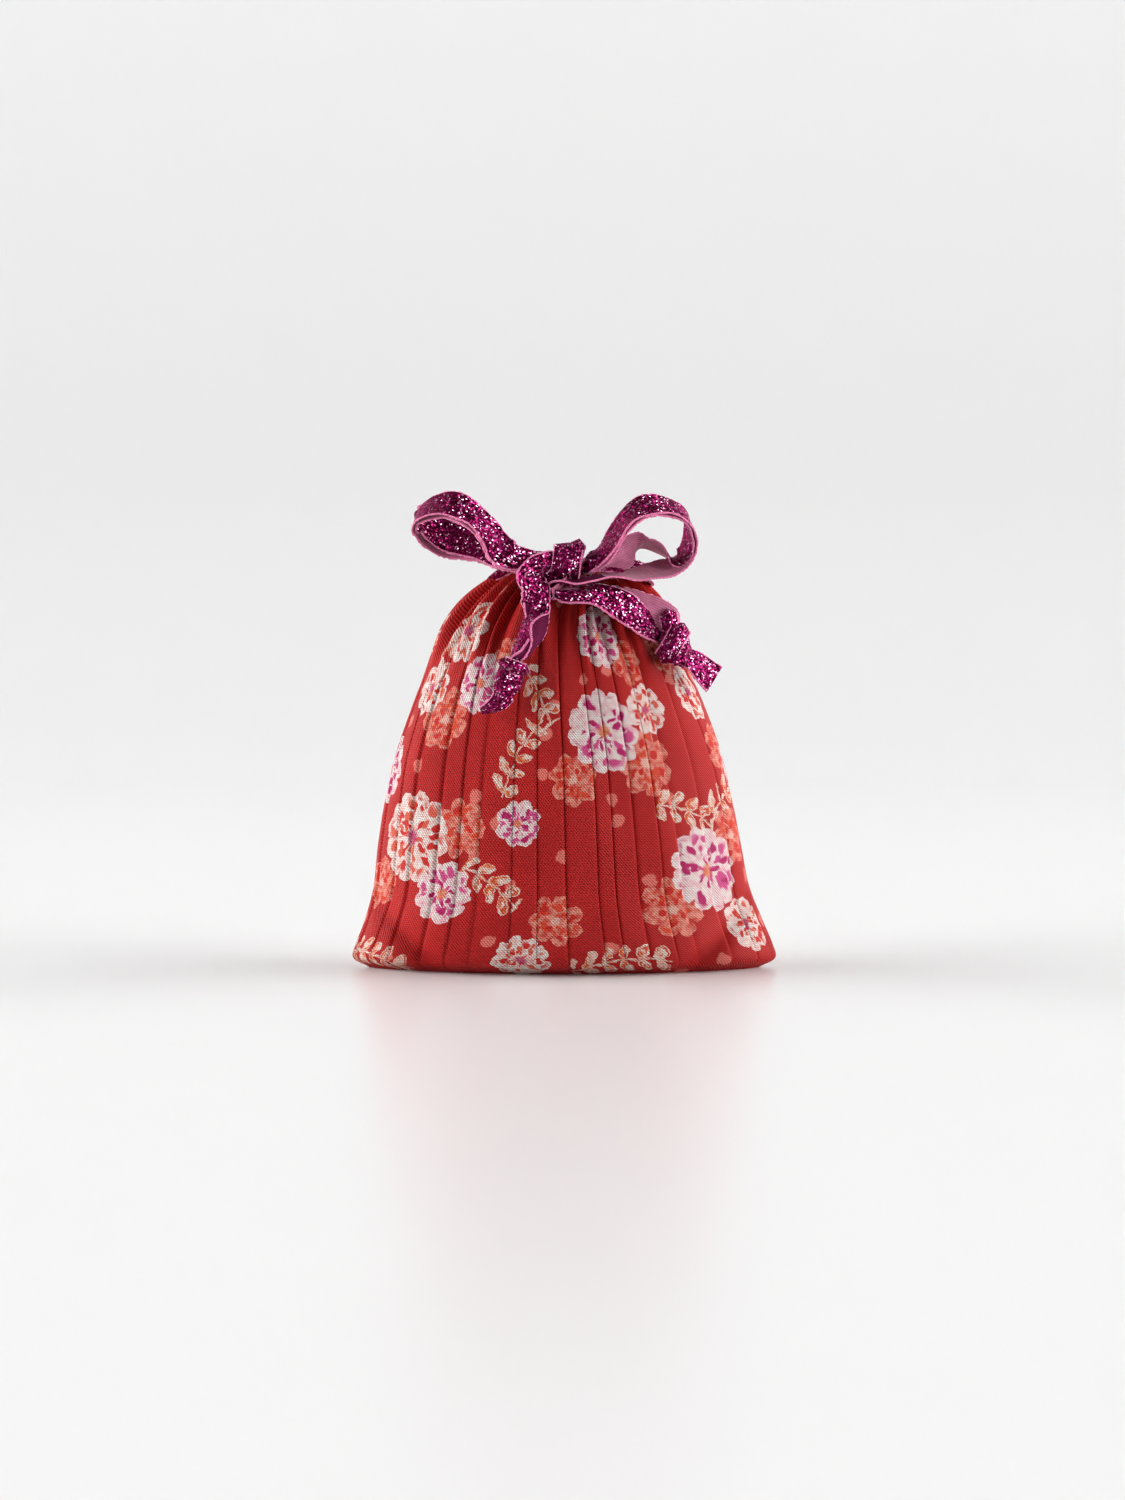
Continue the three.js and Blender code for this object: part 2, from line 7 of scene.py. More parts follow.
import bmesh
import bpy
import numpy as np
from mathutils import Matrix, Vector


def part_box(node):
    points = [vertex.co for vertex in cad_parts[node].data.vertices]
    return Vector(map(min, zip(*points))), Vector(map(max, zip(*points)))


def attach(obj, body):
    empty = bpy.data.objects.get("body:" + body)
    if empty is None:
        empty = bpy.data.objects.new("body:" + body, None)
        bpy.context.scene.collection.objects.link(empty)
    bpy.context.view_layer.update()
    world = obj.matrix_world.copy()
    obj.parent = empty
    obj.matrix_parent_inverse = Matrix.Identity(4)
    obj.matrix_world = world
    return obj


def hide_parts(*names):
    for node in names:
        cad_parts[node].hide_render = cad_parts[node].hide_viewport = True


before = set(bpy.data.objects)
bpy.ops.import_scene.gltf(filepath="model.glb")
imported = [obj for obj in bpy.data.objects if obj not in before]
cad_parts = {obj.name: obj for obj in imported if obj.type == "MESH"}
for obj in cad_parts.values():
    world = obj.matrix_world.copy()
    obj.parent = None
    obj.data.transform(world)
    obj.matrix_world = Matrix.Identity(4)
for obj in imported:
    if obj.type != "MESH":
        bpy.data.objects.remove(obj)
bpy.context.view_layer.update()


# The camera
# A table-top shot: straight in front, a little above the table, with a long lens so that the
# pouch's sides stay upright. The pouch is drawn 2.7 pixels to the millimetre.
IMAGE_HEIGHT_PIXELS = 1500
PIXELS_PER_METRE = 2700
CAMERA_DISTANCE = 1.25
CAMERA_RISE = np.radians(2.5)
SENSOR_MM = 36
AIM = Vector((-0.0006, 0.0, 0.0807))

camera_data = bpy.data.cameras.new("camera")
camera_data.sensor_fit = "VERTICAL"
camera_data.sensor_height = SENSOR_MM
camera_data.lens = SENSOR_MM * CAMERA_DISTANCE * PIXELS_PER_METRE / IMAGE_HEIGHT_PIXELS
camera = bpy.data.objects.new("camera", camera_data)
camera.location = AIM + CAMERA_DISTANCE * Vector((0.0, -np.cos(CAMERA_RISE), np.sin(CAMERA_RISE)))
camera.rotation_euler = (np.radians(90) - CAMERA_RISE, 0.0, 0.0)
bpy.context.scene.collection.objects.link(camera)
bpy.context.scene.camera = camera


# The ribbons' finishes
# Velvet ribbon with glitter glued over its face, a plain ribbed back and a soft pink selvedge along each
# edge.
# The glitter's tilted grains give hard points of light among near-black and magenta grains, and its
# palest grains are painted glints.
MM = 0.001
RIBBON_WIDTH = 12 * MM
GLITTER_GRAIN = 0.46 * MM
GLITTER_TILT = (1.4, 1.4, 1.4)
BACK_RIB = 0.9 * MM
PILE_GRAIN = 0.35 * MM
# Grain colours from near-black to magenta, and a pale pink at the top that is a painted glint
GLITTER_AND_GLINT_HEX = [("#3a0218", 0.0), ("#5c0732", 0.3), ("#7e124a", 0.58), ("#a82c6e", 0.8), ("#ffc4e2", 0.93)]
BACK_HEX = "#c06888"
BACK_SHADE_HEX = "#9c466c"
# Deep dark magenta painted on the ribbon's back as shade, where it lies inside the folds
PAINTED_SHADE_BACK_HEX = "#6a0d40"
SELVEDGE_HEX = "#e0729f"
GLITTER_EDGE_HEX = "#e884bc"


def linear(hex_colour, alpha=1.0):
    """sRGB hex to linear: c / 12.92 below 0.04045, else ((c + 0.055) / 1.055) to the power 2.4."""
    c = np.array([int(hex_colour[i:i + 2], 16) / 255 for i in (1, 3, 5)])
    return (*np.where(c <= 0.04045, c / 12.92, ((c + 0.055) / 1.055) ** 2.4), alpha)


def add_node(tree, kind, inputs=None, **settings):
    """Add a node, set its properties, and set or link its inputs by name or number."""
    node = tree.nodes.new(kind)
    for key, value in settings.items():
        setattr(node, key, value)
    for key, value in (inputs or {}).items():
        if isinstance(value, bpy.types.NodeSocket):
            tree.links.new(value, node.inputs[key])
        else:
            node.inputs[key].default_value = value
    return node


def new_material(name):
    """A node material holding only its Principled shader."""
    material = bpy.data.materials.new(name)
    material.use_nodes = True
    return material, material.node_tree, material.node_tree.nodes["Principled BSDF"]


def set_ramp(node, stops, interpolation="LINEAR"):
    """Give a colour ramp its hex colours and places."""
    ramp = node.color_ramp
    ramp.interpolation = interpolation
    while len(ramp.elements) < len(stops):
        ramp.elements.new(1.0)
    for element, (hex_colour, place) in zip(ramp.elements, stops):
        element.position = place
        element.color = linear(hex_colour)
    return node.outputs["Color"]


def glitter_material():
    """Grains of foil, each a cell with a colour and a tilt of its own; the palest grain colour is a
    painted glint.
    """
    material, tree, shader = new_material("glitter over velvet pile")
    uv = add_node(tree, "ShaderNodeUVMap", uv_map="cloth").outputs["UV"]
    grain = add_node(tree, "ShaderNodeTexVoronoi", {"Vector": uv, "Scale": 1 / GLITTER_GRAIN},
                     voronoi_dimensions="2D")
    split = add_node(tree, "ShaderNodeSeparateColor", {"Color": grain.outputs["Color"]})
    ramp = add_node(tree, "ShaderNodeValToRGB", {"Fac": split.outputs["Red"]})
    tree.links.new(set_ramp(ramp, GLITTER_AND_GLINT_HEX, "CONSTANT"), shader.inputs["Base Color"])
    tilt = add_node(tree, "ShaderNodeVectorMath", {0: grain.outputs["Color"], 1: (0.5, 0.5, 0.5)},
                    operation="SUBTRACT")
    geometry = add_node(tree, "ShaderNodeNewGeometry")
    lean = add_node(tree, "ShaderNodeVectorMath",
                    {0: tilt.outputs[0], 1: GLITTER_TILT, 2: geometry.outputs["Normal"]},
                    operation="MULTIPLY_ADD")
    normal = add_node(tree, "ShaderNodeVectorMath", {0: lean.outputs[0]}, operation="NORMALIZE")
    tree.links.new(normal.outputs[0], shader.inputs["Normal"])
    shader.inputs["Metallic"].default_value = 0.7
    shader.inputs["Specular IOR Level"].default_value = 0.15
    shader.inputs["Specular Tint"].default_value = linear(GLITTER_EDGE_HEX)
    shader.inputs["Roughness"].default_value = 0.3
    return material


def ribbon_back_material():
    """Woven ground of the velvet: ribs along the ribbon, darker in the hollows between them as painted
    shade, and cloudy at random.
    """
    material, tree, shader = new_material("ribbed ribbon back")
    uv = add_node(tree, "ShaderNodeUVMap", uv_map="cloth").outputs["UV"]
    split = add_node(tree, "ShaderNodeSeparateXYZ", {"Vector": uv})
    phase = add_node(tree, "ShaderNodeMath", {0: split.outputs["Y"], 1: 2 * np.pi / BACK_RIB},
                     operation="MULTIPLY")
    rib = add_node(tree, "ShaderNodeMath", {0: phase.outputs[0]}, operation="SINE")
    cloudy = add_node(tree, "ShaderNodeTexNoise", {"Vector": uv, "Scale": 300.0, "Detail": 3.0})
    # The colour follows the ribs' height and cloudy noise: painted shade in the hollows between the ribs
    share = add_node(tree, "ShaderNodeMath", {0: rib.outputs[0], 1: 0.2, 2: cloudy.outputs["Fac"]},
                     operation="MULTIPLY_ADD")
    ramp = add_node(tree, "ShaderNodeValToRGB", {"Fac": share.outputs[0]})
    tree.links.new(set_ramp(ramp, [(BACK_SHADE_HEX, 0.25), (BACK_HEX, 0.7)]),
                   shader.inputs["Base Color"])
    bump = add_node(tree, "ShaderNodeBump", {"Height": rib.outputs[0], "Distance": 0.06 * MM})
    tree.links.new(bump.outputs[0], shader.inputs["Normal"])
    shader.inputs["Roughness"].default_value = 0.7
    shader.inputs["Sheen Weight"].default_value = 0.25
    return material


def selvedge_material():
    """Short pile at the ribbon's edges, brushed and uneven."""
    material, tree, shader = new_material("pink velvet selvedge")
    uv = add_node(tree, "ShaderNodeUVMap", uv_map="cloth").outputs["UV"]
    pile = add_node(tree, "ShaderNodeTexNoise", {"Vector": uv, "Scale": 1 / PILE_GRAIN, "Detail": 2.0})
    ramp = add_node(tree, "ShaderNodeValToRGB", {"Fac": pile.outputs["Fac"]})
    tree.links.new(set_ramp(ramp, [("#b83478", 0.3), (SELVEDGE_HEX, 0.55), ("#f0a8c8", 0.8)]),
                   shader.inputs["Base Color"])
    bump = add_node(tree, "ShaderNodeBump", {"Height": pile.outputs["Fac"], "Distance": 0.2 * MM})
    tree.links.new(bump.outputs[0], shader.inputs["Normal"])
    shader.inputs["Roughness"].default_value = 0.8
    shader.inputs["Sheen Weight"].default_value = 0.4
    return material


def painted_shade_back_material():
    """Painted shade: the ribbon's back in a deep dark magenta with a noisy grain, for strands that lie in
    shade in the folds, on the side where no glitter is glued on.
    """
    material, tree, shader = new_material("ribbon back in painted shade")
    uv = add_node(tree, "ShaderNodeUVMap", uv_map="cloth").outputs["UV"]
    pile = add_node(tree, "ShaderNodeTexNoise", {"Vector": uv, "Scale": 0.4 / PILE_GRAIN, "Detail": 3.0})
    ramp = add_node(tree, "ShaderNodeValToRGB", {"Fac": pile.outputs["Fac"]})
    tree.links.new(set_ramp(ramp, [("#480628", 0.3), (PAINTED_SHADE_BACK_HEX, 0.7)]), shader.inputs["Base Color"])
    shader.inputs["Roughness"].default_value = 0.9
    shader.inputs["Specular IOR Level"].default_value = 0.2
    return material


RIBBON_FINISHES = [glitter_material(), ribbon_back_material(), selvedge_material(), painted_shade_back_material()]
# The fourth finish is the ribbon's back painted dark as shade
GLITTER, BACK, SELVEDGE, PAINTED_SHADE_BACK = range(4)


# The drawstring ribbons
# Two loops of ribbon run in the casing. The two strands of each come out together at one side of the
# neck, lie back to back round the bow's loop, and are knotted together at their ends.
STEPS_PER_STOP = 8
# Places of the points across a ribbon, as shares of its half width
ACROSS = np.array([-1, -0.93, -0.78, -0.54, -0.27, 0, 0.27, 0.54, 0.78, 0.93, 1])
PILE_HALF = 0.26 * MM
SELVEDGE_HALF = 0.36 * MM
SELVEDGE_SHARE = 0.95
EDGE_STARTS = 0.88
EDGE_FUZZ = 0.3 * MM
RIPPLE_LENGTH = 17 * MM
FOLD_DEPTH_SHARE = 0.45
LEAST_SPREAD = 0.2

# Stops: place in mm, direction across the ribbon from near to far selvedge, share lying flat
LEFT_LEAD = [
    [-15.8, 0, 136.9, 0, 0, 1, 0.37], [-18.6, 0, 137.3, 0, 0, 1, 0.37], [-22, 0, 140.4, 0, 0, 1, 0.37],
    [-25.8, 0, 142.6, 0, 0, 1, 0.28], [-26.4, -4, 144, 0, 0.1, 1, 0.3],
    [-23.6, -10.5, 146.4, 0, 0.2, 1, 0.36], [-18, -16.5, 149.4, 0.1, 0.2, 1, 0.5],
    [-10, -21.8, 150.2, 0, 0.2, 1, 0.52], [-5.4, -25.4, 149.9, 0, 0.2, 1, 0.5],
]
LEFT_LOOP = [
    [-4.5, -26.8, 150.1, 0, 0.51, 0.86, 0.5], [-9.1, -27.8, 150.2, 0.02, 0.72, 0.7, 0.58],
    [-14.2, -29.2, 150.5, 0.24, 0.6, 0.76, 0.7], [-19.2, -30.3, 151.4, 0.29, 0.33, 0.9, 0.86],
    [-22.4, -30.5, 153.9, 0.28, 0.29, 0.92, 0.98], [-25.1, -30, 157.6, 0.34, 0.68, 0.65, 1],
    [-28.3, -29, 162, 0.33, 0.73, 0.6, 1], [-32.3, -27.8, 166.1, 0.31, 0.74, 0.6, 1],
    [-37.1, -26.3, 169.3, 0.29, 0.66, 0.69, 1], [-42.3, -24.3, 170.8, 0.24, 0.65, 0.72, 1],
    [-48, -21.8, 170, 0.15, 0.76, 0.63, 1], [-52, -19.4, 167.7, 0.09, 0.91, 0.41, 1],
    [-53.7, -17.2, 165.1, 0.07, 0.95, 0.31, 1], [-53.5, -15.2, 163.1, 0.01, 0.88, 0.47, 1],
    [-51.6, -13.8, 160.9, -0.08, 0.7, 0.71, 1], [-47.7, -12.8, 159.2, -0.06, 0.44, 0.9, 1],
    [-42.7, -12.5, 157.5, -0.04, 0.21, 0.98, 1], [-36.3, -13.4, 156.7, -0.01, 0.19, 0.98, 1],
    [-29.8, -15.4, 155.7, 0, 0.23, 0.97, 1], [-24.2, -18, 152.9, 0.02, 0.24, 0.97, 0.88],
    [-18.2, -21, 150.8, 0.03, 0.26, 0.96, 0.72], [-11.8, -24, 150.1, 0.03, 0.38, 0.92, 0.58],
    [-4.5, -25.8, 150.1, 0, 0.51, 0.86, 0.5],
]
LEFT_TAIL_FRONT = [
    [-3.8, -30.2, 149.9, 0, 0.34, -0.94, 0.66], [-6.7, -31.6, 149, 0.26, 0.58, -0.77, 0.78],
    [-9.8, -32.8, 147.2, 0.52, 0.47, -0.71, 0.92], [-11.8, -33.6, 143.5, 0.78, 0.23, -0.58, 1],
    [-10.2, -34, 140.1, 0.87, 0.45, -0.19, 1], [-10.1, -34.3, 135.2, 0.88, 0.46, -0.11, 0.96],
    [-11.6, -34.8, 131.5, 0.6, -0.79, -0.11, 0.9], [-14, -35.6, 127.8, 0.34, -0.94, 0.03, 0.8],
    [-15, -36.4, 123.9, 0.51, -0.86, 0.06, 0.75], [-15.5, -37.2, 120.2, 0.8, -0.57, 0.17, 0.72],
    [-16.8, -38, 116.9, 0.82, -0.57, 0.08, 0.62], [-18, -38.6, 114.7, 0.69, -0.72, 0.07, 0.5],
    [-18.6, -39.8, 112.2, 0.5, 0.8, 0, 0.5],
]
LEFT_TAIL_BACK = [
    [-3.9, -29, 149.6, 0, 0.55, -0.83, 0.6], [-6.5, -30, 147.9, 0.16, 0.6, -0.79, 0.7],
    [-8.7, -31.2, 145.7, 0.4, 0.62, -0.67, 0.9], [-9.4, -32, 142.1, 0.73, 0.58, -0.36, 0.95],
    [-9.4, -32.5, 137.1, 0.82, 0.55, -0.15, 0.92], [-9.3, -32.9, 132.7, 0.84, 0.54, -0.05, 0.88],
    [-9.2, -33.7, 128.8, 0.78, 0.63, 0, 0.82], [-9.6, -34.9, 124.7, 0.73, 0.69, 0, 0.72],
    [-10.6, -36.4, 120.8, 0.49, 0.87, -0.08, 0.65], [-13.4, -37.8, 116.9, 0.44, 0.89, -0.09, 0.55],
    [-16.8, -38.8, 114.5, 0.47, 0.88, 0, 0.5], [-18.4, -39.6, 112.2, 0.5, 0.8, 0, 0.5],
]
LEFT_END = [
    [-20.9, -40.4, 102.4, 0.73, 0.41, -0.54, 0.7], [-23.6, -40, 99.1, 0.69, 0.37, -0.63, 0.6],
    [-26.7, -39.4, 97.1, 0.53, 0.44, -0.72, 0.45], [-29.5, -38.8, 95.9, 0.39, 0.48, -0.78, 0.28],
]
RIGHT_LEAD = [
    [15.8, 0, 141.7, 0, 0, 1, 0.37], [23, 0, 141.8, 0, 0, 1, 0.37], [29.5, 0, 142.8, 0, 0, 1, 0.36],
    [31.5, -4, 144.4, 0, 0.1, 1, 0.4], [28, -10.5, 146.6, 0, 0.2, 1, 0.5],
    [19.5, -16.8, 148.8, -0.1, 0.2, 1, 0.55], [11, -22, 149.4, 0, 0.2, 1, 0.52],
    [8.4, -24.4, 149.4, 0, 0.2, 1, 0.5],
]
RIGHT_LOOP_SHARED = [
    [8.4, -26.8, 148.7, 0, 0.43, 0.9, 0.52], [10.1, -27.8, 150.4, -0.04, 0.48, 0.88, 0.67],
    [13.3, -28.4, 152.7, -0.36, 0.83, 0.43, 0.82], [16.9, -28.6, 157.2, -0.37, 0.88, 0.3, 0.96],
    [20.1, -28, 161.9, -0.4, 0.89, 0.23, 1], [23.5, -27, 166.3, -0.36, 0.84, 0.4, 1],
    [28, -25.6, 169.4, -0.18, 0.79, 0.59, 1], [33.3, -23.6, 170.5, -0.01, 0.81, 0.58, 1],
    [38.6, -21.2, 169.8, 0.06, 0.9, 0.44, 1], [42.8, -18.8, 167.7, 0.08, 0.96, 0.26, 1],
    [45.5, -16.6, 164.2, -0.04, 0.98, 0.17, 1], [46.2, -14.6, 159.9, -0.25, 0.95, 0.2, 1],
    [45.8, -14, 156.6, -0.37, 0.91, 0.18, 1],
]
RIGHT_LOOP_LOWER = [
    [44.9, -14.2, 153.4, -0.44, 0.87, 0.21, 1], [42.8, -14.8, 150.7, -0.43, 0.85, 0.3, 1],
    [39.8, -15.5, 149, -0.35, 0.83, 0.43, 1], [35.8, -16.5, 147.6, -0.32, 0.8, 0.5, 1],
    [31.5, -17.8, 146.8, -0.32, 0.82, 0.48, 1], [27.3, -19.2, 146, -0.31, 0.86, 0.4, 1],
    [23, -20.8, 145.4, -0.26, 0.92, 0.28, 1], [18.5, -22.8, 145, -0.19, 0.97, 0.18, 0.95],
    [13.8, -25.2, 144.4, -0.1, 0.98, 0.15, 0.85], [8.8, -28.2, 143.3, -0.04, 0.98, 0.21, 0.7],
    [3.8, -30, 142.2, 0, 0.96, 0.27, 0.6], [-0.7, -30.8, 143, 0.03, 0.95, 0.32, 0.5],
]
RIGHT_LOOP_TWISTED = [
    [44.4, -13.6, 153.7, -0.47, 0.85, 0.22, 1], [42.1, -13.2, 151.6, -0.47, 0.84, 0.27, 1],
    [39.9, -12.6, 151, -0.28, 0.95, 0.13, 1], [37.8, -12, 152.4, -0.13, 0.99, -0.04, 1],
    [35.6, -11.6, 154.3, -0.09, 0.97, -0.21, 1], [32.1, -11.4, 156.4, -0.07, 0.96, -0.27, 1],
    [29.3, -11.8, 156.9, -0.06, 0.97, -0.25, 1], [27.1, -13, 156.3, -0.03, 0.87, -0.49, 1],
    [25.3, -15, 155.3, 0.07, 0.4, -0.91, 1], [22, -17.5, 153.1, 0.15, 0.3, -0.94, 1],
    [17.9, -20, 151.3, 0.07, 0.5, -0.87, 0.86], [13.6, -22.5, 149.6, 0, 0.74, -0.67, 0.7],
    [9.2, -24.4, 148.3, -0.05, 0.86, -0.51, 0.58], [8.4, -25.4, 148.2, -0.02, 0.85, -0.53, 0.5],
]
RIGHT_TAIL_FRONT = [
    [-2.6, -29.2, 138.8, 0, 0.82, 0.57, 0.42], [0, -29.4, 138.5, 0.14, 0.76, 0.63, 0.62],
    [5, -29.6, 138.6, 0.13, 0.79, 0.59, 0.8], [11.3, -29.7, 138.4, 0.18, 0.71, 0.68, 0.95],
    [16.6, -29.3, 136.5, 0.31, 0.6, 0.73, 1], [22.3, -28.4, 133.3, 0.41, 0.39, 0.82, 1],
    [26.8, -27.2, 129.9, 0.41, 0.55, 0.73, 1], [30.5, -25.6, 127.5, 0.36, 0.55, 0.75, 0.9],
    [33.1, -24.2, 125.4, 0.24, 0.62, 0.74, 0.78], [34.8, -23, 123.4, 0.2, 0.75, 0.63, 0.62],
]
RIGHT_TAIL_BACK = [
    [-2.6, -28.6, 139.8, 0, 0.86, 0.52, 0.4], [2.1, -28.2, 140.7, 0.29, 0.77, 0.58, 0.6],
    [10.9, -26, 140.6, 0.3, 0.81, 0.5, 0.8], [19.4, -25.2, 139.2, 0.36, 0.79, 0.5, 0.95],
    [25.7, -24.6, 136.5, 0.42, 0.67, 0.62, 1], [30.8, -23.8, 133.5, 0.43, 0.51, 0.74, 1],
    [35.2, -22.6, 130.9, 0.47, 0.39, 0.79, 1], [38.2, -21.8, 128.9, 0.54, 0.39, 0.75, 0.95],
    [39.3, -21.4, 126.3, 0.56, 0.6, 0.56, 0.8],
]
RIGHT_END = [
    [44.4, -21.4, 115.2, 0.35, 0.66, 0.66, 0.55], [47, -20, 114.3, 0.39, 0.59, 0.71, 0.76],
    [50.4, -17.6, 111.4, 0.47, 0.51, 0.72, 0.92], [55, -15.4, 107.3, 0.51, 0.45, 0.73, 1],
]


def smooth(stops, steps):
    """Catmull-Rom curve: between stops b and c, with a and d on either side, and t from 0 to 1, it is
    half of 2b + (c - a) t + (2a - 5b + 4c - d) t squared + (3b - a - 3c + d) t cubed."""
    stops = np.array(stops, float)
    ends = np.vstack([2 * stops[0] - stops[1], stops, 2 * stops[-1] - stops[-2]])
    place = np.linspace(0, len(stops) - 1, (len(stops) - 1) * steps + 1)
    span = np.minimum(place.astype(int), len(stops) - 2)
    t = (place - span)[:, None]
    a, b, c, d = (ends[span + i] for i in range(4))
    return 0.5 * (2 * b + (c - a) * t + (2 * a - 5 * b + 4 * c - d) * t ** 2
                  + (3 * b - a - 3 * c + d) * t ** 3)


def unit(vectors):
    """Vectors brought to length 1."""
    return vectors / np.linalg.norm(vectors, axis=-1, keepdims=True)


def laid(stops, lift_mm, face):
    """Stops with two columns more: how far the strand is lifted along its face's normal, and the
    side that shows glitter, 1 for the normal's and -1 for the other, or 2 and -2 where the other
    side takes the dark back finish that paints shade."""
    stops = np.array(stops, float)
    return np.column_stack([stops, np.full(len(stops), lift_mm), np.full(len(stops), face)])


def closed_strip(name, rings, uv, kinds):
    """A tube of rings as one mesh with flat ends. kinds gives each ring step's finish."""
    rows, count = rings.shape[:2]
    r, i = np.meshgrid(np.arange(rows - 1), np.arange(count), indexing="ij")
    j = (i + 1) % count
    quads = np.stack([r * count + i, (r + 1) * count + i, (r + 1) * count + j, r * count + j], axis=-1)
    half = count // 2
    k = np.arange(half - 1)
    near_end = np.stack([k, k + 1, count - 2 - k, count - 1 - k], axis=-1)
    far_end = near_end[:, ::-1] + (rows - 1) * count
    faces = np.vstack([quads.reshape(-1, 4), near_end, far_end])
    mesh = bpy.data.meshes.new(name)
    mesh.from_pydata(rings.reshape(-1, 3).tolist(), [], faces.tolist())
    finish = np.concatenate([kinds[:rows - 1].reshape(-1), np.full(2 * (half - 1), SELVEDGE)])
    mesh.polygons.foreach_set("material_index", finish.astype(np.int32))
    layer = mesh.uv_layers.new(name="cloth")
    corners = np.empty(len(mesh.loops), np.int32)
    mesh.loops.foreach_get("vertex_index", corners)
    layer.data.foreach_set("uv", uv.reshape(-1, 2)[corners].astype(np.float32).ravel())
    mesh.polygons.foreach_set("use_smooth", np.ones(len(faces), bool))
    piece = bpy.data.objects.new(name, mesh)
    bpy.context.scene.collection.objects.link(piece)
    solid = bmesh.new()
    solid.from_mesh(mesh)
    bmesh.ops.recalc_face_normals(solid, faces=solid.faces)
    solid.to_mesh(mesh)
    solid.free()
    return piece


def finish_ribbon(piece):
    """Give a piece of ribbon its finishes, and tell the frame what it is."""
    for finish in RIBBON_FINISHES:
        piece.data.materials.append(finish)
    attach(piece, "root")


def ribbon_strip(name, stops, ripple=0.3, phase=0.0):
    """A flat ribbon along laid stops, with normal = line direction x across. A point stands at
    centre + across * w * half + normal * (thickness + fold + ripple), w from -1 to 1: the fold is a
    shallow V that takes up the width not lying flat, and the ripple is a wave along both edges. The
    pile at the very edge is ragged."""
    line = smooth(stops, STEPS_PER_STOP)
    centre = line[:, :3] * MM
    along = unit(np.gradient(centre, axis=0))
    across = line[:, 3:6] - np.sum(line[:, 3:6] * along, axis=1, keepdims=True) * along
    across = unit(across)
    normal = np.cross(along, across)
    spread = np.clip(line[:, 6], LEAST_SPREAD, 1)
    centre = centre + normal * line[:, 7:8] * MM
    length = np.concatenate([[0], np.cumsum(np.linalg.norm(np.diff(centre, axis=0), axis=1))])
    ring_w = np.concatenate([ACROSS, ACROSS[::-1]])
    side = np.repeat([1.0, -1.0], len(ACROSS))
    edge = np.clip((np.abs(ring_w) - EDGE_STARTS) / (1 - EDGE_STARTS), 0, 1)
    thick = side * (PILE_HALF + (SELVEDGE_HALF - PILE_HALF) * np.sin(np.pi * edge) ** 0.5)
    half = spread * RIBBON_WIDTH / 2
    folded = np.sqrt(1 - spread ** 2) * RIBBON_WIDTH / 2
    fold = -FOLD_DEPTH_SHARE * folded[:, None] * (np.abs(ring_w) - 0.5)
    swing = np.sin(2 * np.pi * length[:, None] / RIPPLE_LENGTH + phase + ring_w)
    wave = ripple * MM * swing * np.abs(ring_w) ** 3
    height = thick + fold + wave
    fuzz = np.random.default_rng(3).uniform(-EDGE_FUZZ, EDGE_FUZZ, (len(line), len(ring_w)))
    aside = ring_w * half[:, None] + np.sign(ring_w) * fuzz * (np.abs(ring_w) == 1)
    rings = (centre[:, None] + across[:, None] * aside[..., None]
             + normal[:, None] * height[..., None])
    uv = np.stack(np.broadcast_arrays(length[:, None], ring_w * RIBBON_WIDTH / 2), axis=-1)
    middle = np.abs(ring_w + np.roll(ring_w, -1)) / 2 < SELVEDGE_SHARE
    front = side * line[:, 8:9] > 0
    # Faces 2 and -2 give the showing back the dark painted-shade finish instead of the plain back
    plain = np.where(np.abs(line[:, 8:9]) > 1.5, PAINTED_SHADE_BACK, BACK)
    kinds = np.where(middle, np.where(front, GLITTER, plain), SELVEDGE)
    piece = closed_strip(name, rings, uv, kinds)
    finish_ribbon(piece)
    return piece, centre


# In the bow's wrap, out of sight, each strand turns back towards its own side
LEFT_TURN_FRONT = [[-0.6, -27, 150, 0, 0.9, 0.2, 0.45], [-0.6, -29, 150, 0, 0.9, -0.4, 0.45]]
LEFT_TURN_BACK = [[-0.8, -26.6, 149.6, 0, 0.9, 0.2, 0.45], [-1, -28, 149, 0, 0.9, -0.3, 0.45]]
RIGHT_TURN_FRONT = [[-3.4, -29.6, 142.6, 0, 0.95, 0.3, 0.34], [-5.8, -28, 141, 0, 0.95, 0.3, 0.34],
                    [-5.1, -27.6, 139.2, 0, 0.88, 0.48, 0.45]]
RIGHT_TURN_BACK = [[4, -26.6, 149, 0, 1, -0.2, 0.45], [2, -27.4, 145.4, 0, 1, 0.2, 0.42]]

# How far the strands lie apart, in mm: the left loop's inner one slackens by a bell curve round its
# far end and stands higher on its way back, and the tails' back strands lie behind the front ones
BACK_TO_BACK = 0.7
LOOP_SLACK, SLACK_STOP = 1.0, 10
RETURN_RISE, RISE_STOP = 2.5, 14.6
BELL_STOPS = 3.0
stop_number = np.arange(len(LEFT_LOOP))
left_inner_lift = BACK_TO_BACK + LOOP_SLACK * np.exp(-((stop_number - SLACK_STOP) / BELL_STOPS) ** 2)
left_inner_loop = np.array(LEFT_LOOP, float)
left_inner_loop[:, 2] += RETURN_RISE * np.exp(-((stop_number - RISE_STOP) / BELL_STOPS) ** 2)
LEFT_BACK_LIFT = [-1, -1, -1, -1, -0.7, -0.4, 0, 0, 0, 0, 0, 0]
RIGHT_BACK_LIFT = [-0.6, -1.2, -1.8, -1.8, -1.6, -1.2, -0.8, -0.3, 0]

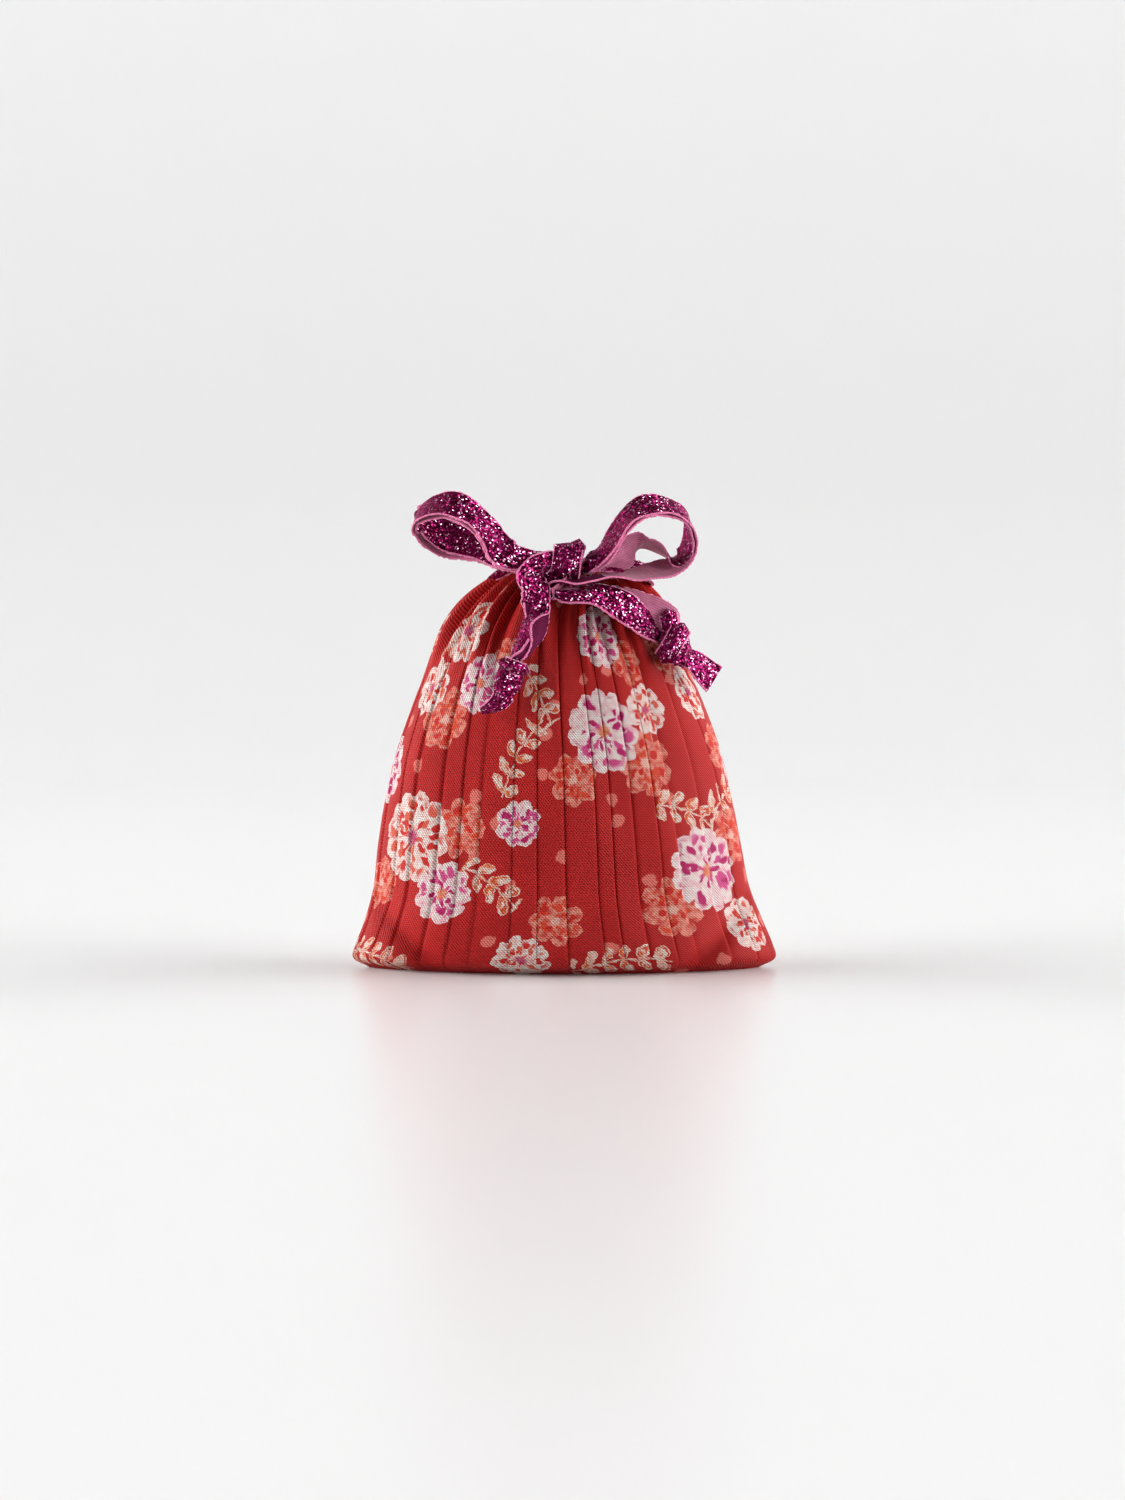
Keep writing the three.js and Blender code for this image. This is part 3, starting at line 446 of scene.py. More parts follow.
# The left tail's back strand, and the right loop's lower band with its turn into the wrap, show their
# backs in painted shade (faces 2 and -2)
left_outer, left_outer_path = ribbon_strip("left_ribbon_outer_strand", np.vstack([
    laid(LEFT_LEAD, -0.5, -1), laid(LEFT_LOOP, -0.55, -1), laid(LEFT_TURN_FRONT, 0.3, 1),
    laid(LEFT_TAIL_FRONT, 0.0, 1)]))
left_inner, left_inner_path = ribbon_strip("left_ribbon_inner_strand", np.vstack([
    laid(LEFT_LEAD, 0.5, 1), laid(left_inner_loop, left_inner_lift, 1), laid(LEFT_TURN_BACK, 0.0, -1),
    laid(LEFT_TAIL_BACK, LEFT_BACK_LIFT, -2)]), phase=1.4)
right_outer, right_outer_path = ribbon_strip("right_ribbon_outer_strand", np.vstack([
    laid(RIGHT_LEAD, 0.5, 1), laid(RIGHT_LOOP_SHARED, 0.55, 1), laid(RIGHT_LOOP_LOWER[:-4], 0.3, 1),
    laid(RIGHT_LOOP_LOWER[-4:], 0.3, 2), laid(RIGHT_TURN_FRONT, 0.0, 2), laid(RIGHT_TAIL_FRONT, 0.0, 1)]))
right_inner, right_inner_path = ribbon_strip("right_ribbon_inner_strand", np.vstack([
    laid(RIGHT_LEAD, -0.5, -1), laid(RIGHT_LOOP_SHARED, -0.65, -1), laid(RIGHT_LOOP_TWISTED, 0.0, -1),
    laid(RIGHT_TURN_BACK, 0.0, -1), laid(RIGHT_TAIL_BACK, RIGHT_BACK_LIFT, -1)]), phase=2.2)


# The knots
# Overhand knots that tie each pair of ends, and the wrap of the bow, which the right ribbon makes
# round the left one. A knot is a tight wad of glitter ribbon with a turn or two drawn round it, and
# a wad fills the bow's wrap. Centres and radii are in mm.
TURN_STOPS = 12
TURN_START_DEGREES = 100
TURN_SWEEP_DEGREES = 350


def turn_round(centre, radii, tilt_degrees, spread):
    """Laid stops of one turn of ribbon round the oval y = a cos t, z = b sin t, its width along X,
    tilted about Y. It starts at the top and stops just short of a whole turn."""
    angle = np.radians(TURN_START_DEGREES + np.linspace(0, 1, TURN_STOPS) * TURN_SWEEP_DEGREES)
    tilt = np.radians(tilt_degrees)
    y = radii[0] * np.cos(angle)
    z = radii[1] * np.sin(angle)
    ones = np.ones_like(angle)
    stops = np.stack([centre[0] + z * np.sin(tilt), centre[1] + y, centre[2] + z * np.cos(tilt),
                      np.cos(tilt) * ones, 0 * ones, -np.sin(tilt) * ones, spread * ones], axis=1)
    return laid(stops, 0.0, 1)


def knot_wad(name, centre, radii, tilt_degrees, seed):
    """Ellipsoid of latitude p and longitude q whose radius swells and dips by up to a seventh in
    slanting folds, sin(2q + 3p) and sin(5q - 4p), with its poles closed."""
    p, q = np.meshgrid(np.linspace(-np.pi / 2, np.pi / 2, 33), np.linspace(0, 2 * np.pi, 49)[:-1],
                       indexing="ij")
    swell = 1 + 0.09 * np.sin(2 * q + 3 * p + seed) + 0.06 * np.sin(5 * q - 4 * p + 2 * seed)
    swell[[0, -1]] = 1
    local = np.stack([radii[0] * np.cos(p) * np.cos(q), radii[1] * np.cos(p) * np.sin(q),
                      radii[2] * np.sin(p)], axis=-1) * swell[..., None]
    tilt = np.radians(tilt_degrees)
    turn = np.array([[np.cos(tilt), 0, np.sin(tilt)], [0, 1, 0], [-np.sin(tilt), 0, np.cos(tilt)]])
    points = (local @ turn.T + np.array(centre)) * MM
    uv = np.stack([q * radii[0] * MM, p * radii[2] * MM], axis=-1)
    kinds = np.full(p.shape, GLITTER)
    piece = closed_strip(name, points, uv, kinds)
    merge = bmesh.new()
    merge.from_mesh(piece.data)
    bmesh.ops.remove_doubles(merge, verts=merge.verts, dist=1e-6)
    bmesh.ops.recalc_face_normals(merge, faces=merge.faces)
    merge.to_mesh(piece.data)
    merge.free()
    finish_ribbon(piece)
    return piece


bow_wrap, _ = ribbon_strip("bow_wrap", turn_round(
    (0.9, -27.4, 150.2), (4.9, 6.0), 8, 0.88), ripple=0.2)
bow_core = knot_wad("bow_knot_core", (-4.3, -27.6, 146.4), (4.2, 2.6, 4.4), 10, 2.6)
bow_wrap_second, _ = ribbon_strip("bow_wrap_second_turn", turn_round(
    (3.7, -27.0, 151.0), (4.2, 6.4), 14, 0.48), ripple=0.2)
left_end_wad = knot_wad("left_end_knot", (-20.1, -40.4, 106.9), (4.7, 4.4, 8.4), 21, 0.4)
left_end_turn, _ = ribbon_strip("left_end_knot_turn", turn_round(
    (-18.0, -40.2, 112.3), (4.9, 5.0), 111, 0.4), ripple=0.15)
left_ends, _ = ribbon_strip("left_ribbon_ends", laid(LEFT_END, 0.0, 1))
right_end_wad = knot_wad("right_end_knot", (39.9, -22.6, 119.6), (5.6, 5.2, 7.6), -25, 1.9)
right_end_turn, _ = ribbon_strip("right_end_knot_turn", turn_round(
    (39.4, -22.6, 120.6), (6.0, 7.3), 30, 0.62), ripple=0.15)
right_end_fold, _ = ribbon_strip("right_end_knot_fold", turn_round(
    (38.3, -22.4, 128.0), (3.0, 4.2), -12, 0.55), ripple=0.15)
right_ends, _ = ribbon_strip("right_ribbon_ends", laid(RIGHT_END, 0.0, 1))


def declare_strand(piece, path, node):
    """Hide the model's part that a strand stands in for, and work out the strand's length along its path.
    """
    length = float(np.linalg.norm(np.diff(path, axis=0), axis=1).sum())
    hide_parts(node)


declare_strand(left_outer, left_outer_path, "drawstring_ribbon_left")
declare_strand(left_inner, left_inner_path, "drawstring_ribbon_left")
declare_strand(right_outer, right_outer_path, "drawstring_ribbon_right")
declare_strand(right_inner, right_inner_path, "drawstring_ribbon_right")


# The pleated cloth
# One piece of printed polyester crepe, heat-set in knife pleats, sewn into a bag and drawn together
# at the neck, where the pleats crowd into deep gathers. Its two bottom corners stand out as ears.
body_low, body_high = (Vector(corner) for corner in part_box("pouch_body"))
BODY_HEIGHT = body_high.z
HALF_WIDTH = (body_high.x - body_low.x) / 2 - 0.35 * MM
HALF_DEPTH = (body_high.y - body_low.y) / 2 - 0.9 * MM
BODY_LEAN = 3 * MM
PLEATS = 36
CLOTH_ROUND = 336 * MM
FOLDED_AWAY = 1 * MM
GATHER_MM = 2.2
BUNCH_MM = 2.1
CORNER_FOLD_MM = 3.2
CORNER_SWELL_MM = 2.0
# The fold across a bottom corner runs through this place in X and Z, with this rise and run
CORNER_FOLD_X, CORNER_FOLD_Z = 70 * MM, 30 * MM
CORNER_RISE, CORNER_RUN = 30, 25

# Outline of the cloth: share of the height, of the half width and of the half depth
OUTLINE = [
    [0, 0.921, 0.567], [0.023, 1, 0.78], [0.06, 0.985, 0.898], [0.121, 0.934, 0.969],
    [0.201, 0.876, 1], [0.301, 0.845, 1], [0.415, 0.811, 0.976], [0.536, 0.767, 0.929],
    [0.643, 0.703, 0.875], [0.737, 0.632, 0.804], [0.817, 0.555, 0.733], [0.877, 0.485, 0.662],
    [0.924, 0.413, 0.591], [0.961, 0.327, 0.508], [0.988, 0.237, 0.383], [1.0, 0.141, 0.236],
]
# From the gathered mouth back down inside to the floor of the bag
INSIDE = [
    [0.985, 0.1, 0.19], [0.94, 0.095, 0.18], [0.89, 0.11, 0.2], [0.85, 0.2, 0.3], [0.81, 0.42, 0.5],
    [0.74, 0.58, 0.7], [0.6, 0.68, 0.82], [0.4, 0.77, 0.91], [0.2, 0.83, 0.93], [0.06, 0.9, 0.8],
    [0.012, 0.88, 0.52],
]
# Knife pleat: places of its points along its pitch, and height of the cloth there
PLEAT_PLACES = [0, 0.035, 0.08, 0.15, 0.26, 0.39, 0.52, 0.65, 0.77, 0.86, 0.92, 0.965]
PLEAT_KNOTS = [0, 0.05, 0.14, 0.45, 0.8, 0.94, 1]
PLEAT_HEIGHTS = [-1, -0.1, 0.3, 0.5, 0.75, 0.7, -1]


def ease(value, low, high):
    """Smooth step from 0 at low to 1 at high: 3 t squared - 2 t cubed."""
    t = np.clip((value - low) / (high - low), 0, 1)
    return t * t * (3 - 2 * t)


def even_angles(share):
    """Angle on the outline's oval after a share of its length, counted from +X."""
    angle = np.linspace(0, 2 * np.pi, 2001)
    step = np.hypot(0.811 * HALF_WIDTH * np.sin(angle), 0.976 * HALF_DEPTH * np.cos(angle))
    length = np.concatenate([[0], np.cumsum((step[1:] + step[:-1]) / 2)])
    turns = np.floor(share)
    return 2 * np.pi * turns + np.interp(share - turns, length / length[-1], angle)


def uneven_share(share):
    """Share of the way round at which a pleat stands: three waves crowd and spread the pleats."""
    around = 2 * np.pi * share
    return (share + 0.006 * np.sin(3 * around + 0.7) + 0.0045 * np.sin(5 * around + 2.1)
            + 0.0038 * np.sin(13 * around + 1))


def pouch_points():
    """The bag as rings of pleats from the middle of the foot, up the outside, over the gathered mouth
    and down inside. A ring is x = a cos p, y = b sin p to the power of the ears; pleats, gathers, soft
    dents and the two corner folds move its points along the oval's outward direction."""
    foot = np.array([[0.0, OUTLINE[0][1] * f, OUTLINE[0][2] * f] for f in (0.004, 0.35, 0.7, 0.9)])
    outside = smooth(OUTLINE, 10)
    inside = smooth([OUTLINE[-1]] + INSIDE, 3)[1:]
    closing = np.array([[INSIDE[-1][0], INSIDE[-1][1] * f, INSIDE[-1][2] * f] for f in (0.6, 0.2, 0.004)])
    profile = np.vstack([foot, outside, inside, closing])
    outer_rows = len(foot) + len(outside)
    tall = profile[:, 0, None]
    z = tall * BODY_HEIGHT
    is_outside = (np.arange(len(profile)) < outer_rows)[:, None]
    rng = np.random.default_rng(7)
    depth = rng.uniform(0.25, 1.5, PLEATS)
    rise = rng.uniform(0.5, 1.5, PLEATS)
    gather = rng.uniform(0.6, 1.5, PLEATS)
    column = (np.arange(PLEATS)[:, None] + np.array(PLEAT_PLACES)).ravel()
    pleat = column.astype(int)
    local = np.interp(column - pleat, PLEAT_KNOTS, PLEAT_HEIGHTS)
    fold_depth = depth[pleat] * (1 - (column - pleat)) + depth[(pleat + 1) % PLEATS] * (column - pleat)
    knife = np.where(local < 0, local * fold_depth, local * rise[pleat])
    around = 2 * np.pi * column / PLEATS
    share = uneven_share(column / PLEATS)
    p = even_angles(share + 0.0012 * np.sin(2 * around + 9 * tall))
    ears = 1 + 0.55 * (1 - ease(z, 0, 0.042))
    a = profile[:, 1, None] * HALF_WIDTH
    b = profile[:, 2, None] * HALF_DEPTH
    x = a * np.cos(p)
    y = b * np.sign(np.sin(p)) * np.abs(np.sin(p)) ** ears
    out_x, out_y = x / a ** 2, y / b ** 2
    size = np.hypot(out_x, out_y) + 1e-9
    out_x, out_y = out_x / size, out_y / size
    crowd = ease(tall, 0.67, 0.95)
    mouth = 1 - 0.65 * ease(tall, 0.96, 1)
    pleated = (0.3 + 0.33 * ease(tall, 0, 0.08)) * (1 - 0.5 * crowd) * knife
    gathers = GATHER_MM * crowd * -np.cos(2 * np.pi * (column + 0.12)) * gather[pleat]
    bunches = BUNCH_MM * ease(tall, 0.72, 0.92) * np.sin(11 * around + 3 * tall + 0.6)
    dents = ((0.9 * np.sin(2 * around + 6 * tall) + 0.55 * np.sin(5 * around - 9 * tall + 1)
              + 0.35 * np.sin(11 * around + 7 * tall + 2)) * ease(tall, 0.03, 0.2) * (1 - crowd))
    moved = np.where(is_outside, (pleated + gathers + bunches) * mouth + dents, 0.4 * gathers) * MM
    run = (((CORNER_FOLD_X - np.abs(x)) * CORNER_RISE - (CORNER_FOLD_Z - z) * CORNER_RUN)
           / np.hypot(CORNER_RISE, CORNER_RUN))
    corner = (-CORNER_FOLD_MM * np.exp(-(run / 0.0045) ** 2)
              + CORNER_SWELL_MM * np.exp(-((run + 0.011) / 0.007) ** 2))
    near_corner = (ease(np.abs(x), 0.03, 0.045) * ease(z, 0.0, 0.006) * (1 - ease(z, 0.022, 0.036))
                   * ease(np.abs(y), 0.001, 0.01))
    x = x + out_x * moved - BODY_LEAN * ease(tall, 0, 0.75) * (1 - ease(tall, 0.82, 1))
    y = y + out_y * moved + np.where(is_outside, np.sign(y) * corner * MM * near_corner, 0)
    points = np.stack([x, y, np.broadcast_to(z, x.shape)], axis=-1)
    height = np.concatenate([[0], np.cumsum(np.hypot(np.diff(profile[:, 0]) * BODY_HEIGHT,
                                                     np.diff(profile[:, 1]) * HALF_WIDTH))])
    return points, column, height - height[len(foot)]


def pouch_mesh(name):
    """The rings as one closed mesh. The print skips a little cloth at each crease, where it is
    folded away, so the pattern is cut there."""
    points, column, height = pouch_points()
    rows, count = points.shape[:2]
    r, i = np.meshgrid(np.arange(rows - 1), np.arange(count), indexing="ij")
    j = (i + 1) % count
    quads = np.stack([r * count + i, r * count + j, (r + 1) * count + j, (r + 1) * count + i], axis=-1)
    quads = quads.reshape(-1, 4)
    poles = [tuple(range(count - 1, -1, -1)), tuple(range((rows - 1) * count, rows * count))]
    mesh = bpy.data.meshes.new(name)
    mesh.from_pydata(points.reshape(-1, 3).tolist(), [], quads.tolist() + poles)
    next_column = np.append(column[1:], PLEATS)
    folded = column.astype(int) * FOLDED_AWAY
    start = uneven_share(column / PLEATS) * CLOTH_ROUND + folded
    end = uneven_share(next_column / PLEATS) * CLOTH_ROUND + folded
    u = np.stack([start[i], end[i], end[i], start[i]], axis=-1)
    v = np.stack([height[r], height[r], height[r + 1], height[r + 1]], axis=-1)
    corner_uv = np.stack([u, v], axis=-1).reshape(-1, 2)
    layer = mesh.uv_layers.new(name="cloth")
    pole_uv = np.zeros((2 * count, 2))
    layer.data.foreach_set("uv", np.vstack([corner_uv, pole_uv]).astype(np.float32).ravel())
    mesh.polygons.foreach_set("use_smooth", np.ones(len(mesh.polygons), bool))
    piece = bpy.data.objects.new(name, mesh)
    bpy.context.scene.collection.objects.link(piece)
    return piece


# The print on the cloth
# Screen-printed clusters of round blossoms on red: white ones dabbed with magenta or coral, coral
# ones with paler petals, leafy sprigs and small dots. The design repeats twice round the bag.
PRINT_REPEAT = (CLOTH_ROUND + PLEATS * FOLDED_AWAY) / 2
PRINT_WOBBLE = 3.4 * MM
DOT_SPACING = 23 * MM
LEAF_PITCH = 6.4 * MM
LEAF_HALF_WIDTH = 2.2 * MM
LEAF_HALF_LENGTH = 3.0 * MM
LEAF_CENTRE = 3.2 * MM
STEM_HALF = 0.45 * MM
STEM_BEND = 12.0
TWILL_PITCH = 1.05 * MM
TWILL_HEIGHT = 0.12 * MM
# Colour scale in the twill's valleys and on its ridges: painted shade and painted light
TWILL_PAINTED_SHADE, TWILL_PAINTED_LIGHT = 0.46, 1.24
RED_HEX, BRIGHT_RED_HEX, DOT_HEX = "#a81e1e", "#b52322", "#ee8a7c"
CORAL, WHITE_PINK, WHITE_CORAL, SPRIG = 1, 2, 3, 4
# Flowers from the lowest layer of ink up: place and radius in mm, petals, depth of the lobes, kind
BLOSSOMS = [
    (52, 60, 11, 7, 0.34, CORAL), (12, 38, 10, 6, 0.36, CORAL), (38, 100, 12, 7, 0.34, CORAL),
    (66, 124, 9, 6, 0.36, CORAL), (98, 78, 10, 7, 0.34, CORAL), (130, 84, 13, 7, 0.32, CORAL),
    (134, 30, 12, 7, 0.34, CORAL), (168, 56, 11, 6, 0.36, CORAL), (90, 26, 10, 7, 0.34, CORAL),
    (156, 126, 9, 6, 0.36, CORAL), (176, 88, 11, 7, 0.34, CORAL), (132, 122, 9, 6, 0.36, CORAL),
    (30, 56, 17, 12, 0.18, WHITE_CORAL), (46, 36, 12, 9, 0.2, WHITE_PINK),
    (54, 114, 12, 10, 0.2, WHITE_PINK), (24, 112, 11, 9, 0.2, WHITE_CORAL),
    (113, 96, 16, 11, 0.18, WHITE_PINK), (136, 104, 10, 9, 0.2, WHITE_CORAL),
    (151, 44, 16, 12, 0.18, WHITE_PINK), (166, 22, 11, 9, 0.2, WHITE_CORAL),
    (4, 80, 13, 10, 0.2, WHITE_PINK), (168, 110, 11, 9, 0.2, WHITE_CORAL),
    (78, 10, 10, 9, 0.2, WHITE_CORAL), (118, 133, 13, 10, 0.2, WHITE_PINK),
    (36, 135, 13, 10, 0.2, WHITE_CORAL), (76, 62, 9, 8, 0.22, WHITE_PINK),
]
# Sprigs: place in mm, half length, turn in degrees
SPRIGS = [(112, 10, 17, 8), (20, 10, 18, -10), (74, 86, 15, 62), (66, 40, 13, -35), (170, 72, 14, 24),
          (84, 110, 13, -58), (146, 66, 13, -20), (30, 132, 14, 30), (186, 132, 12, 50)]


def math_node(tree):
    """A short way to add one step of arithmetic to a node tree."""
    def calc(operation, *values):
        return add_node(tree, "ShaderNodeMath", dict(enumerate(values)), operation=operation).outputs[0]
    return calc


def motif_group(name, extra):
    """A node group that takes a place on the cloth and what is printed there so far, and its own
    place and numbers, and gives what is printed there now."""
    tree = bpy.data.node_groups.new(name, "ShaderNodeTree")
    for socket in ("Place", "Printed"):
        tree.interface.new_socket(socket, in_out="INPUT", socket_type="NodeSocketVector")
    for socket in ("U", "V", *extra):
        tree.interface.new_socket(socket, in_out="INPUT", socket_type="NodeSocketFloat")
    tree.interface.new_socket("Printed", in_out="OUTPUT", socket_type="NodeSocketVector")
    given = add_node(tree, "NodeGroupInput").outputs
    calc = math_node(tree)
    place = add_node(tree, "ShaderNodeSeparateXYZ", {"Vector": given["Place"]})
    dx = calc("WRAP", calc("SUBTRACT", place.outputs["X"], given["U"]), PRINT_REPEAT / 2,
              -PRINT_REPEAT / 2)
    dy = calc("SUBTRACT", place.outputs["Y"], given["V"])

    def finish(inside, first, second, third):
        spot = add_node(tree, "ShaderNodeCombineXYZ", {"X": first, "Y": second, "Z": third}).outputs[0]
        printed = add_node(tree, "ShaderNodeMix", {0: inside, 4: given["Printed"], 5: spot},
                           data_type="VECTOR").outputs[1]
        result = add_node(tree, "NodeGroupOutput")
        tree.links.new(printed, result.inputs["Printed"])
        return tree

    return given, calc, dx, dy, finish


def blossom_group():
    """A round flower: with r the distance from its heart and t the angle, its n petals reach
    R (1 - lobe + lobe sqrt |cos(n t / 2)|). Inside it, the print is the petals turned past, the share
    of the way to the petal's edge, and the kind of flower."""
    given, calc, dx, dy, finish = motif_group("blossom", ("Radius", "Petals", "Lobe", "Turn", "Kind"))
    reach = calc("DIVIDE", calc("SQRT", calc("MULTIPLY_ADD", dx, dx, calc("MULTIPLY", dy, dy))),
                 given["Radius"])
    petals_past = calc("MULTIPLY_ADD", calc("ARCTAN2", dy, dx),
                       calc("DIVIDE", given["Petals"], 2 * np.pi), given["Turn"])
    swing = calc("ABSOLUTE", calc("COSINE", calc("MULTIPLY", petals_past, np.pi)))
    hollow = calc("MULTIPLY", calc("SUBTRACT", 1.0, calc("SQRT", swing)), given["Lobe"])
    share = calc("DIVIDE", reach, calc("SUBTRACT", 1.0, hollow))
    return finish(calc("LESS_THAN", share, 1.0), petals_past, share, given["Kind"])


def sprig_group():
    """A stem with pairs of leaves: along the stem s and across it t, a leaf is the oval
    ((s - t / 2) / 2.2 mm) squared + ((t - 3.2 mm) / 3 mm) squared below 1, repeated every 6.4 mm."""
    given, calc, dx, dy, finish = motif_group("sprig", ("Half length", "Cosine", "Sine"))
    along = calc("ADD", calc("MULTIPLY", dx, given["Cosine"]), calc("MULTIPLY", dy, given["Sine"]))
    level = calc("SUBTRACT", calc("MULTIPLY", dy, given["Cosine"]), calc("MULTIPLY", dx, given["Sine"]))
    bent = calc("MULTIPLY_ADD", calc("MULTIPLY", along, along), STEM_BEND, level)
    aside = calc("ABSOLUTE", bent)
    step = calc("WRAP", calc("MULTIPLY_ADD", aside, -0.5, along), LEAF_PITCH / 2, -LEAF_PITCH / 2)
    leaf_s = calc("DIVIDE", step, LEAF_HALF_WIDTH)
    leaf_t = calc("DIVIDE", calc("SUBTRACT", aside, LEAF_CENTRE), LEAF_HALF_LENGTH)
    oval = calc("SQRT", calc("MULTIPLY_ADD", leaf_s, leaf_s, calc("MULTIPLY", leaf_t, leaf_t)))
    share = calc("MINIMUM", oval, calc("DIVIDE", aside, STEM_HALF))
    on_stem = calc("LESS_THAN", calc("ABSOLUTE", along), given["Half length"])
    inside = calc("MULTIPLY", on_stem, calc("LESS_THAN", share, 1.0))
    return finish(inside, calc("DIVIDE", along, 3 * MM), share, float(SPRIG))


def fill(tree, group, numbers):
    """Add a motif's group with its numbers, and give what is printed after it."""
    motif = add_node(tree, "ShaderNodeGroup", node_tree=group)
    for key, value in numbers.items():
        if isinstance(value, bpy.types.NodeSocket):
            tree.links.new(value, motif.inputs[key])
        else:
            motif.inputs[key].default_value = value
    return motif.outputs["Printed"]


def cloth_material():
    """Crepe satin: twill lines a little under a millimetre apart, with painted shade and light along
    them, a soft shine, and the print.
    """
    material, tree, shader = new_material("printed red crepe")
    calc = math_node(tree)

    def blend(share, under, over):
        return add_node(tree, "ShaderNodeMix", {0: share, 6: under, 7: over}, data_type="RGBA").outputs[2]

    def between(value, low, high):
        return add_node(tree, "ShaderNodeMapRange", {"Value": value, "From Min": low, "From Max": high},
                        interpolation_type="SMOOTHSTEP").outputs[0]

    uv = add_node(tree, "ShaderNodeUVMap", uv_map="cloth").outputs["UV"]
    wobble = add_node(tree, "ShaderNodeTexNoise", {"Vector": uv, "Scale": 300.0, "Detail": 3.0})
    centred = add_node(tree, "ShaderNodeVectorMath", {0: wobble.outputs["Color"], 1: (0.5, 0.5, 0.5)},
                       operation="SUBTRACT")
    place = add_node(tree, "ShaderNodeVectorMath",
                     {0: centred.outputs[0], 1: (PRINT_WOBBLE, PRINT_WOBBLE, 0.0), 2: uv},
                     operation="MULTIPLY_ADD").outputs[0]
    # The ground, with small soft dots
    shade = add_node(tree, "ShaderNodeTexNoise", {"Vector": uv, "Scale": 45.0, "Detail": 2.0})
    ground = add_node(tree, "ShaderNodeValToRGB", {"Fac": shade.outputs["Fac"]})
    red = set_ramp(ground, [(RED_HEX, 0.3), (BRIGHT_RED_HEX, 0.7)])
    dots = add_node(tree, "ShaderNodeTexVoronoi", {"Vector": place, "Scale": 1 / DOT_SPACING},
                    voronoi_dimensions="2D")
    dot = between(dots.outputs["Distance"], 0.12, 0.09)
    colour = blend(calc("MULTIPLY", dot, 0.6), red, linear(DOT_HEX))
    # What is printed over it: petals turned past, share of the way to the edge, and kind
    printed = add_node(tree, "ShaderNodeCombineXYZ").outputs[0]
    blossom, sprig = blossom_group(), sprig_group()
    for u, v, half_length, turn in SPRIGS:
        printed = fill(tree, sprig, {
            "Place": place, "Printed": printed, "U": u * MM, "V": v * MM,
            "Half length": half_length * MM, "Cosine": float(np.cos(np.radians(turn))),
            "Sine": float(np.sin(np.radians(turn)))})
    for k, (u, v, radius, petals, lobe, kind) in enumerate(BLOSSOMS):
        printed = fill(tree, blossom, {
            "Place": place, "Printed": printed, "U": u * MM, "V": v * MM, "Radius": radius * MM,
            "Petals": petals, "Lobe": lobe, "Turn": 3.7 * k, "Kind": kind})
    spot = add_node(tree, "ShaderNodeSeparateXYZ", {"Vector": printed})
    turned, share, kind = spot.outputs[0], spot.outputs[1], spot.outputs[2]
    # Dabs of the brush, laid outwards from the heart of each flower
    polar = add_node(tree, "ShaderNodeCombineXYZ", {"X": calc("MULTIPLY", turned, 1.6),
                                                    "Y": calc("MULTIPLY", share, 3.4), "Z": kind})
    dabs = add_node(tree, "ShaderNodeTexVoronoi", {"Vector": polar.outputs[0], "Scale": 1.0,
                                                   "Randomness": 0.85}, voronoi_dimensions="3D")
    pick = add_node(tree, "ShaderNodeSeparateColor", {"Color": dabs.outputs["Color"]})
    wash = add_node(tree, "ShaderNodeTexNoise", {"Vector": uv, "Scale": 420.0, "Detail": 4.0})
    ragged = calc("MULTIPLY_ADD", wash.outputs["Fac"], 0.5, dabs.outputs["Distance"])
    dab = calc("MULTIPLY", between(ragged, 0.79, 0.69), between(share, 0.96, 0.8))
    ridge = calc("ABSOLUTE", calc("COSINE", calc("MULTIPLY", turned, np.pi)))
    gap = calc("MULTIPLY", between(ridge, 0.3, 0.1), between(share, 0.45, 0.6))
    heart = between(share, 0.22, 0.12)
    soft = wash.outputs["Fac"]
    looks = [
        (CORAL, ("#c4483e", "#db8b7a"), ("#c42a22", "#d0452e"), "#dcb2a4"),
        (WHITE_PINK, ("#dca6ae", "#ded2cd"), ("#b0205f", "#c94a80"), "#d6703a"),
        (WHITE_CORAL, ("#dcaaa2", "#ded3cd"), ("#c42c26", "#d05a48"), "#b42c66"),
        (SPRIG, ("#dc9c88", "#d9c8bd"), ("#c6462e", "#d47040"), "#d9bab0"),
    ]
    for number, petal, strokes, centre in looks:
        base = add_node(tree, "ShaderNodeValToRGB", {"Fac": soft})
        look = set_ramp(base, [(petal[0], 0.36), (petal[1], 0.6)])
        look = blend(calc("MULTIPLY", gap, 0.55), look, linear(petal[0]))
        ink = blend(calc("GREATER_THAN", pick.outputs["Green"], 0.5), linear(strokes[0]),
                    linear(strokes[1]))
        look = blend(dab, look, ink)
        look = blend(calc("MULTIPLY", heart, 0.8), look, linear(centre))
        colour = blend(calc("COMPARE", kind, float(number), 0.3), colour, look)
    # The weave: its height bumps the surface and also scales the colour, painted shade in the valleys and
    # painted light on the ridges
    split = add_node(tree, "ShaderNodeSeparateXYZ", {"Vector": uv})
    slant = calc("ADD", split.outputs["X"], calc("MULTIPLY", split.outputs["Y"], 0.8))
    twill = calc("SINE", calc("MULTIPLY", slant, 2 * np.pi / TWILL_PITCH))
    thread = calc("SINE", calc("MULTIPLY", split.outputs["Y"], 2 * np.pi / (0.8 * TWILL_PITCH)))
    weave = calc("MULTIPLY_ADD", thread, 0.5, twill)
